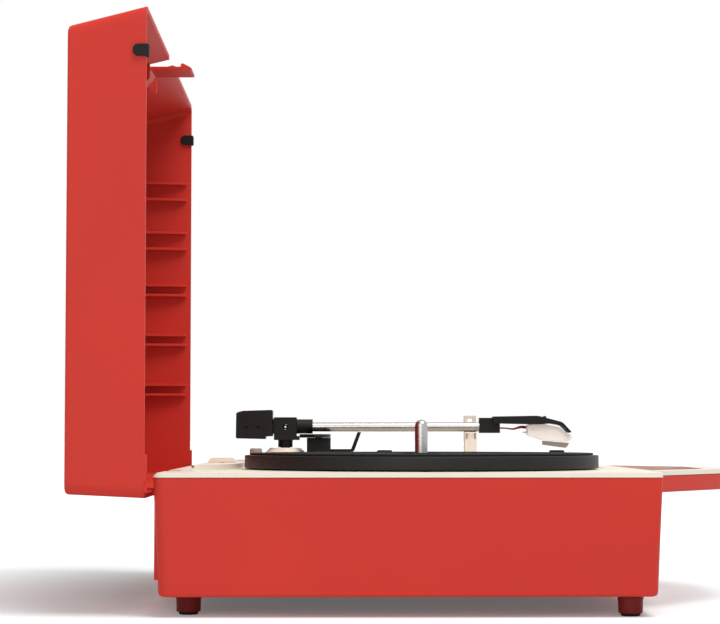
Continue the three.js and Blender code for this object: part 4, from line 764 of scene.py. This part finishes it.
class PLAYER_OT_drive(bpy.types.Operator):
    """Motor can with its rolled edges, brass pulley, belt and the washer under the platter"""

    bl_idname = "player.drive"
    bl_label = "Motor and belt"

    def execute(self, context):
        low, high, radius = round_box("motor")
        can_low, bead, well = low.z + 3 * MM, radius - 0.3 * MM, high.z - 12 * MM
        can = [(0, low.z), (4 * MM, low.z), (4 * MM, can_low), (radius, can_low)]
        can += [(radius, can_low + 4 * MM), (bead, can_low + 4.3 * MM), (bead, high.z - 3 * MM)]
        can += [(radius, high.z - 2.6 * MM), (radius, high.z), (1.2 * MM, high.z)]
        can += [(1.2 * MM, well), (0, well)]
        turned_piece("motor", can, Z, 72, 0.5 * MM)
        low, high, flange = round_box("motor_pulley")
        waist, top = flange - 0.8 * MM, high.z
        wheel = [(0, low.z), (1 * MM, low.z), (1 * MM, top - 4.6 * MM), (flange, top - 4.6 * MM)]
        wheel += [(flange, top - 4.2 * MM), (waist, top - 4 * MM)]
        wheel += [(waist + 0.15 * MM, top - 2.3 * MM), (waist, top - 0.6 * MM)]
        wheel += [(2 * MM, top), (0, top)]
        turned_piece("motor_pulley", wheel, Z, 48, 0.12 * MM, 2)
        piece("drive_belt_finished", cad_copy("drive_belt", 0.2), "drive_belt")
        low, high, outer = round_box("platter_washer")
        inner = 3.9 * MM
        ring = [(inner, low.z), (outer, low.z), (outer, high.z), (inner, high.z), (inner, low.z)]
        turned_piece("platter_washer", ring, edge=0.15 * MM, segments=2)
        return {"FINISHED"}


class PLAYER_OT_platter(bpy.types.Operator):
    """The platter with its drive drum, the ringed rubber mat and the domed spindle"""

    bl_idname = "player.platter"
    bl_label = "Platter, mat and spindle"

    def execute(self, context):
        low, high, radius = round_box("platter")
        steps = sizes().round_steps
        bore, hub, drum, rim, top = PLATTER_BORE, 10 * MM, 61 * MM, 4.5 * MM, 2 * MM
        under = high.z - top
        profile = [
            (bore, low.z + 0.7 * MM),
            (hub, low.z + 0.7 * MM),
            (hub, under),
            (drum - 3 * MM, under),
            (drum - 3 * MM, low.z + 0.5 * MM),
            (drum, low.z + 0.5 * MM),
            (drum, under),
            (radius - rim, under),
            (radius - rim, low.z),
            (radius, low.z),
            (radius, high.z),
            (bore, high.z),
            (bore, low.z + 0.7 * MM),
        ]
        turned_piece("platter", profile, Z, steps, 0.5 * MM)
        low, high, radius = round_box("platter_mat")
        top, inner, label, recess = high.z, bore + SEAT_GAP, 50 * MM, high.z - 0.35 * MM
        pitch, groove = sizes().groove_pitch, high.z - sizes().groove_depth
        ring = [(inner, low.z), (radius, low.z), (radius, top - 0.3 * MM), (radius - 0.4 * MM, top)]
        at = radius - 3 * MM
        while at - pitch > label:
            ring += [(at, top), (at - 0.2 * pitch, groove)]
            ring += [(at - 0.5 * pitch, groove), (at - 0.7 * pitch, top)]
            at -= pitch
        ring += [(label, top), (label - 0.6 * MM, recess), (11 * MM, recess)]
        ring += [(10.6 * MM, top), (inner, top), (inner, low.z)]
        bm = bmesh.new()
        turned(bm, ring, middle("platter"), Z, steps)
        piece("platter_mat_finished", bm, "platter_mat", smooth=28)
        low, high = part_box("spindle")
        flange, flange_top = 9 * MM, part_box("deck_plate")[1].z - 3 * MM - 2.7 * MM
        pin = [(0, low.z), (6 * MM, low.z), (flange, flange_top - 2.2 * MM)]
        pin += [(flange, flange_top), (SPINDLE_RADIUS, flange_top)]
        arc, dome_foot = 10, high.z - SPINDLE_RADIUS
        for i in range(arc + 1):
            turn = 0.5 * math.pi * i / arc
            along = dome_foot + SPINDLE_RADIUS * math.sin(turn)
            pin.append((SPINDLE_RADIUS * math.cos(turn), along))
        turned_piece("spindle", pin)
        return {"FINISHED"}


# ---------------------------------------------------------------- tonearm


class PLAYER_OT_arm_mount(bpy.types.Operator):
    """Cone base, turning yoke, hollow pin, carrier and the counterweight"""

    bl_idname = "player.arm_mount"
    bl_label = "Tonearm mount"

    def execute(self, context):
        low, high, outer = round_box("arm_base")
        centre = Vector((middle("arm_yoke").x, middle("arm_pin").y, 0))
        inner, crown = 3.3 * MM, 10.2 * MM
        profile = [(inner, low.z), (outer, low.z), (outer, low.z + 0.8 * MM)]
        profile += [(crown, high.z - 0.7 * MM), (crown - 0.5 * MM, high.z)]
        profile += [(inner, high.z), (inner, low.z)]
        bm = bmesh.new()
        turned(bm, profile, centre, Z, 96)
        bmesh.ops.bisect_plane(
            bm,
            geom=bm.verts[:] + bm.edges[:] + bm.faces[:],
            dist=PLANE_TOLERANCE,
            plane_co=Vector((0, low.y, 0)),
            plane_no=(0, -1, 0),
            clear_outer=True,
        )
        bmesh.ops.edgeloop_fill(bm, edges=[e for e in bm.edges if e.is_boundary])
        piece("arm_base_finished", soften(bm, 0.35 * MM), "arm_base")
        softened_copy("arm_yoke", sizes().part_edge)
        low, high, radius = round_box("arm_pin", Z)
        bore, lip = 0.65 * MM, 0.25 * MM
        tube = [(bore, low.x), (radius - lip, low.x), (radius, low.x + lip)]
        tube += [(radius, high.x - lip), (radius - lip, high.x), (bore, high.x), (bore, low.x)]
        turned_piece("arm_pin", tube, X, 40, slot="black_plastic")
        softened_copy("arm_carrier", sizes().part_edge)
        low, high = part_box("counterweight")
        bm = soften(cad_copy("counterweight"), 0.7 * MM, 4, 30)
        span, tall = high.y - low.y, high.z - low.z
        for side in (-1, 1):
            for share in (0.4, 0.74):
                y, z = low.y + span * share, high.z - tall * 0.6
                spans = [(y - 1.3 * MM, y + 1.3 * MM), (z - 0.8 * MM, z + 0.8 * MM)]
                sink(bm, X, side, spans, 0.9 * MM)
        piece("counterweight_finished", bm, "counterweight")
        return {"FINISHED"}


def centreline(node, axis, count):
    """Middle points of a thin CAD solid, in order along an axis."""
    points = [vertex.co.copy() for vertex in frame["nodes"][node].data.vertices]
    points.sort(key=lambda co: co[axis])
    size = len(points) / count
    line = []
    for i in range(count):
        chunk = points[int(i * size) : int((i + 1) * size)]
        line.append(sum(chunk, Vector()) / len(chunk))
    line[0][axis] = points[0][axis]
    line[-1][axis] = points[-1][axis]
    return line


class PLAYER_OT_arm(bpy.types.Operator):
    """Polished tube, head shell, cartridge with its terminals and seam, guard and leads"""

    bl_idname = "player.arm"
    bl_label = "Tonearm and cartridge"

    def execute(self, context):
        low, high, radius = round_box("arm_tube")
        inner, lip = radius - 0.8 * MM, 0.15 * MM
        tube = [(inner, low.y), (radius - lip, low.y), (radius, low.y + lip)]
        tube += [(radius, high.y), (inner, high.y), (inner, low.y)]
        turned_piece("arm_tube", tube, Y, 72)

        low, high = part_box("head_shell")
        bm = soften(cad_copy("head_shell"), sizes().part_edge)
        stud_y, top = low.y + (high.y - low.y) * 0.28, high.z
        stud = [(0, top - 3 * MM), (1.2 * MM, top - 3 * MM), (1.1 * MM, top - 0.5 * MM)]
        stud += [(0.6 * MM, top - 0.1 * MM), (0, top - 0.05 * MM)]
        turned(bm, stud, (middle("head_shell").x, stud_y, 0), Z, 24)
        piece("head_shell_finished", bm, "head_shell")

        low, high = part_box("cartridge")
        bm = soften(cad_copy("cartridge"), sizes().part_edge, 3, 30)
        rear, seam = high.y, high.y - (high.y - low.y) * 0.4
        spans = [(seam - 0.2 * MM, seam + 0.2 * MM), (low.z - 1 * MM, high.z + 1 * MM)]
        for side in (-1, 1):
            sink(bm, X, side, spans, 0.25 * MM)
        piece("cartridge_finished", bm, "cartridge", smooth=14)
        bm = bmesh.new()
        root, radius = rear - 1 * MM, 0.35 * MM
        pin = [(0, root), (radius, root), (radius, rear + 2.2 * MM), (0, rear + 2.4 * MM)]
        pin_z = (low.z + high.z) / 2 + 0.1 * MM
        for offset in (-2.6 * MM, -0.9 * MM, 0.9 * MM, 2.6 * MM):
            turned(bm, pin, (middle("cartridge").x + offset, 0, pin_z), Y, 16)
        piece("cartridge_pins", bm, (), "brass", "arm_lift")
        softened_copy("stylus_guard", sizes().fine_edge, 3, 30)

        for node in ("lead_red", "lead_black"):
            points = centreline(node, Y, 11)
            curve = bpy.data.curves.new(node, "CURVE")
            curve.dimensions = "3D"
            curve.bevel_depth = sizes().lead_radius
            curve.bevel_resolution = 4
            curve.use_fill_caps = True
            curve.resolution_u = 6
            spline = curve.splines.new("NURBS")
            spline.points.add(len(points) - 1)
            spline.use_endpoint_u = True
            spline.order_u = 4
            for i, (control, point) in enumerate(zip(spline.points, points)):
                wave = 0.35 * MM * math.sin(2 * math.pi * i / 5) * (0 < i < len(points) - 1)
                control.co = (point.x, point.y, point.z + wave, 1)
            draft = bpy.data.objects.new(node + "_draft", curve)
            bm = bmesh.new()
            bm.from_mesh(draft.to_mesh())
            draft.to_mesh_clear()
            bpy.data.objects.remove(draft)
            piece(node + "_finished", bm, node)
        return {"FINISHED"}


class PLAYER_OT_arm_rest(bpy.types.Operator):
    """The rest's post with its clip window and the two guide notches under the tube"""

    bl_idname = "player.arm_rest"
    bl_label = "Arm rest"

    def execute(self, context):
        bm = soften(cad_copy("arm_rest"), sizes().part_edge)
        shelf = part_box("arm_tube")[0].z - SEAT_GAP
        centre = middle("arm_rest").y
        half = 3.8 * MM
        for sign in (-1, 1):
            ys = sorted((centre + sign * (half - 0.6 * MM), centre + sign * (half - 1.9 * MM)))
            sink(bm, X, -1, [ys, (shelf - 4.6 * MM, shelf - 0.9 * MM)], 2.4 * MM)
        piece("arm_rest_finished", bm, "arm_rest")
        return {"FINISHED"}


class PLAYER_OT_cue_lift(bpy.types.Operator):
    """Damped lift: block, arc platform with a rubbered top, and the bent lever"""

    bl_idname = "player.cue_lift"
    bl_label = "Cue lift"

    def execute(self, context):
        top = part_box("cue_block")[1].z
        bm = cad_copy("cue_block")
        for vertex in bm.verts:
            if vertex.co.z > top - CAD_MERGE:
                vertex.co.z += CUE_BLOCK_RISE
        piece("cue_block_finished", soften(bm, sizes().part_edge), "cue_block")
        softened_copy("cue_platform", sizes().fine_edge)
        softened_copy("cue_lever", sizes().fine_edge)
        return {"FINISHED"}


# ---------------------------------------------------------------- controls


def knob(node, ribs, inset, pointer):
    """A turned knob with upright ribs, and a pressed pointer line where it has one."""
    low, high, radius = round_box(node)
    centre, shaft = middle(node), 2 * MM
    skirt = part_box("deck_plate")[1].z + 0.4 * MM
    bm = bmesh.new()
    profile = [(0, low.z), (shaft, low.z), (shaft, skirt), (radius, skirt)]
    profile += [(radius, high.z - 0.9 * MM), (radius - 0.3 * MM, high.z - 0.35 * MM)]
    profile += [(radius - 0.9 * MM, high.z), (0, high.z)]
    steps = ribs * 4
    turned(bm, profile, centre, Z, steps)
    for vertex in bm.verts:
        flat = Vector((vertex.co.x - centre.x, vertex.co.y - centre.y, 0))
        if vertex.co.z < skirt - CAD_MERGE or flat.length < radius - 0.35 * MM:
            continue
        step = round(math.atan2(flat.y, flat.x) / (2 * math.pi) * steps) % 4
        if step in (0, 1):
            vertex.co -= flat.normalized() * inset
    if pointer:
        half = 0.35 * MM
        along = (centre.x - radius * 0.75, centre.x - radius * 0.2)
        sink(bm, Z, 1, [along, (centre.y - half, centre.y + half)], 0.3 * MM)
    piece(node + "_finished", bm, node, smooth=40)


class PLAYER_OT_knobs(bpy.types.Operator):
    """Pitch, volume and tone knobs, and the controls that hang under the deck"""

    bl_idname = "player.knobs"
    bl_label = "Knobs"

    def execute(self, context):
        ribs = sizes().knob_ribs
        knob("pitch_knob", ribs, 0.22 * MM, pointer=False)
        for name in ("volume", "tone"):
            knob(name + "_knob", ribs + 8, 0.18 * MM, pointer=True)
            softened_copy(name + "_control", sizes().fine_edge, 2)
        return {"FINISHED"}


class PLAYER_OT_speed_slider(bpy.types.Operator):
    """The speed selector's block with grip lines across its top"""

    bl_idname = "player.speed_slider"
    bl_label = "Speed slider"

    def execute(self, context):
        low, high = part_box("speed_slider")
        bm = soften(cad_copy("speed_slider"), sizes().part_edge)
        centre = middle("speed_slider")
        across = (low.x + 0.9 * MM, high.x - 0.9 * MM)
        for i in (-2, -1, 0, 1, 2):
            y = centre.y + i * 2 * MM
            sink(bm, Z, 1, [across, (y - 0.3 * MM, y + 0.3 * MM)], 0.35 * MM)
        piece("speed_slider_finished", bm, "speed_slider")
        return {"FINISHED"}


# ---------------------------------------------------------------- lid


class PLAYER_OT_lid(bpy.types.Operator):
    """Lid shell with its ribs and hinge arms, the rubber clips and the hinge pins"""

    bl_idname = "player.lid"
    bl_label = "Lid"

    def execute(self, context):
        softened_copy("lid_shell", sizes().shell_edge)
        for side in SIDES:
            softened_copy(f"bumper_clip_{side}", sizes().part_edge, 4)
            node = f"hinge_pin_{side}"
            low, high, radius = round_box(node, Z)
            crown = 0.4 * MM
            pin = [(0, low.x), (radius - crown, low.x), (radius, low.x + crown)]
            pin += [(radius, high.x - crown), (radius - crown, high.x), (0, high.x)]
            turned_piece(node, pin, X, 32)
        return {"FINISHED"}


class PLAYER_OT_latch(bpy.types.Operator):
    """Latch tongue, the pin that it turns on and its torsion spring"""

    bl_idname = "player.latch"
    bl_label = "Latch"

    def execute(self, context):
        softened_copy("latch_tongue", sizes().fine_edge)
        low, high, radius = round_box("latch_pin", Z)
        pin = [(0, low.x), (radius, low.x), (radius, high.x), (0, high.x)]
        turned_piece("latch_pin", pin, X, 32, 0.2 * MM, 2)
        low, high, outer = round_box("latch_spring", Z)
        centre = middle("latch_spring")
        wire, turns, steps = sizes().spring_wire, 6, 28
        coil = outer - wire
        bm = bmesh.new()
        start = Matrix.Translation((low.x + wire, centre.y, centre.z + coil))
        made = bmesh.ops.create_circle(bm, cap_ends=False, segments=10, radius=wire, matrix=start)
        ring = made["verts"]
        rise = (high.x - low.x - 2 * wire) / (turns * steps)
        geometry = ring + list({e for v in ring for e in v.link_edges})
        bmesh.ops.spin(
            bm,
            geom=geometry,
            cent=centre,
            axis=AXES[X],
            dvec=(rise, 0, 0),
            angle=2 * math.pi * turns,
            steps=turns * steps,
            use_merge=False,
        )
        bmesh.ops.holes_fill(bm, edges=[e for e in bm.edges if e.is_boundary], sides=0)
        piece("latch_spring_finished", bm, "latch_spring")
        return {"FINISHED"}


# ---------------------------------------------------------------- stage


LAMP_TARGET = (0, 0, 0.1)
KEY_PLACE, KEY_SIZE = (-0.6, -0.45, 1.7), 1.2
FILL_PLACE, FILL_SIZE = (-1.9, 0.5, 0.6), 1.4
FLOOR_COLOUR = (0.81, 0.87, 0.87, 1)
FLOOR_HALF = 30
FLOOR_GLOW = (0.15, 0.6, 0.12, 0.9)  # from this near to this far, and the glow at each
SENSOR_WIDTH = 36.0


def slant(name, description, degrees):
    return bpy.props.FloatProperty(
        name=name, description=description, default=math.radians(degrees), subtype="ANGLE"
    )


def level(name, description, default, unit="NONE"):
    return bpy.props.FloatProperty(name=name, description=description, default=default, unit=unit)


class PlayerStage(bpy.types.PropertyGroup):
    """Camera, lamps and floor"""

    camera_place: bpy.props.FloatVectorProperty(
        name="Camera",
        description="Where the camera stands",
        default=(-1.2205, 0.0412, 0.0914),
        unit="LENGTH",
    )
    camera_up: slant("Tilt", "How far the camera looks up", 3.358)
    camera_aside: slant("Turn", "How far the camera turns to the front", 0.596)
    camera_lens: level("Lens", "Focal length in millimetres", 105.0)
    sky: level("Sky", "Strength of the even light", 0.3)
    key: level("Key", "Power of the upper lamp", 27.5, "POWER")
    fill: level("Fill", "Power of the lamp by the camera", 8.5, "POWER")


def lamp(name, place, size, power):
    data = bpy.data.lights.new(name, "AREA")
    data.shape = "DISK"
    data.size = size
    data.energy = power
    made = bpy.data.objects.new(name, data)
    made.location = place
    toward = Vector(LAMP_TARGET) - Vector(place)
    made.rotation_euler = toward.to_track_quat("-Z", "Y").to_euler()
    bpy.context.scene.collection.objects.link(made)


def seen_directly(tree):
    """1 where a ray comes straight from the camera, or by a reflection or through glass."""
    path = add_node(tree, "ShaderNodeLightPath").outputs
    seen = maths(tree, "MAXIMUM", path["Is Camera Ray"], path["Is Glossy Ray"])
    return maths(tree, "MAXIMUM", seen, path["Is Transmission Ray"])


class PLAYER_OT_stage(bpy.types.Operator):
    """White surroundings, a floor that keeps the soft shadow, two lamps and the camera"""

    bl_idname = "player.stage"
    bl_label = "Stage"

    def execute(self, context):
        settings = bpy.context.scene.player_stage
        scene = bpy.context.scene
        scene.view_settings.view_transform = "Standard"
        world = bpy.data.worlds.new("surroundings")
        scene.world = world
        world.use_nodes = True
        tree = world.node_tree
        strength = remap(tree, seen_directly(tree), 0.0, 1.0, settings.sky, 1.0)
        tree.links.new(strength, tree.nodes["Background"].inputs["Strength"])
        tree.nodes["Background"].inputs["Color"].default_value = (1, 1, 1, 1)

        material = bpy.data.materials.new("floor_white")
        material.use_nodes = True
        tree = material.node_tree
        tree.nodes.remove(tree.nodes["Principled BSDF"])
        diffuse = add_node(tree, "ShaderNodeBsdfDiffuse", {"Color": FLOOR_COLOUR})
        place = add_node(tree, "ShaderNodeTexCoord").outputs["Object"]
        away = add_node(tree, "ShaderNodeVectorMath", {0: place}, operation="LENGTH")
        glow = remap(tree, away.outputs["Value"], *FLOOR_GLOW)
        strength = maths(tree, "MULTIPLY", seen_directly(tree), glow)
        glow = add_node(tree, "ShaderNodeEmission", {"Strength": strength})
        both = add_node(tree, "ShaderNodeAddShader", {0: diffuse.outputs[0], 1: glow.outputs[0]})
        tree.links.new(both.outputs[0], tree.nodes["Material Output"].inputs["Surface"])
        bm = bmesh.new()
        bmesh.ops.create_grid(bm, x_segments=1, y_segments=1, size=FLOOR_HALF)
        mesh = bpy.data.meshes.new("floor")
        bm.to_mesh(mesh)
        bm.free()
        mesh.materials.append(material)
        floor = bpy.data.objects.new("floor", mesh)
        scene.collection.objects.link(floor)

        lamp("key_lamp", KEY_PLACE, KEY_SIZE, settings.key)
        lamp("fill_lamp", FILL_PLACE, FILL_SIZE, settings.fill)

        data = bpy.data.cameras.new("camera")
        data.lens = settings.camera_lens
        data.sensor_width = SENSOR_WIDTH
        camera = bpy.data.objects.new("camera", data)
        camera.location = settings.camera_place
        up, aside = settings.camera_up, settings.camera_aside
        ahead = math.cos(up)
        look = Vector((ahead * math.cos(aside), -ahead * math.sin(aside), math.sin(up)))
        camera.rotation_euler = look.to_track_quat("-Z", "Y").to_euler()
        scene.collection.objects.link(camera)
        scene.camera = camera
        return {"FINISHED"}


# ---------------------------------------------------------------- operators and panel


OPERATORS = [
    PLAYER_OT_stage,
    PLAYER_OT_case,
    PLAYER_OT_feet,
    PLAYER_OT_screws,
    PLAYER_OT_battery,
    PLAYER_OT_sockets,
    PLAYER_OT_board,
    PLAYER_OT_speakers,
    PLAYER_OT_drive,
    PLAYER_OT_platter,
    PLAYER_OT_arm_mount,
    PLAYER_OT_arm,
    PLAYER_OT_arm_rest,
    PLAYER_OT_cue_lift,
    PLAYER_OT_knobs,
    PLAYER_OT_speed_slider,
    PLAYER_OT_lid,
    PLAYER_OT_latch,
]


class PLAYER_PT_pieces(bpy.types.Panel):
    """Lists the player's sizes, colours and operators"""

    bl_idname = "PLAYER_PT_pieces"
    bl_label = "Record player"
    bl_space_type = "VIEW_3D"
    bl_region_type = "UI"
    bl_category = "Player"

    def draw(self, context):
        for place in GROUPS:
            group = getattr(context.scene, place)
            box = self.layout.box()
            for name in group.__annotations__:
                box.prop(group, name)
        for kind in OPERATORS:
            self.layout.operator(kind.bl_idname)


GROUPS = {"player_sizes": PlayerSizes, "player_colours": PlayerColours, "player_stage": PlayerStage}


def register():
    for name, group in GROUPS.items():
        bpy.utils.register_class(group)
        setattr(bpy.types.Scene, name, bpy.props.PointerProperty(type=group))
    for kind in OPERATORS + [PLAYER_PT_pieces]:
        bpy.utils.register_class(kind)


def unregister():
    for kind in reversed(OPERATORS + [PLAYER_PT_pieces]):
        bpy.utils.unregister_class(kind)
    for name, group in GROUPS.items():
        delattr(bpy.types.Scene, name)
        bpy.utils.unregister_class(group)


def main():
    register()
    for kind in OPERATORS:
        space, name = kind.bl_idname.split(".")
        getattr(getattr(bpy.ops, space), name)()


if __name__ == "__main__":
    main()
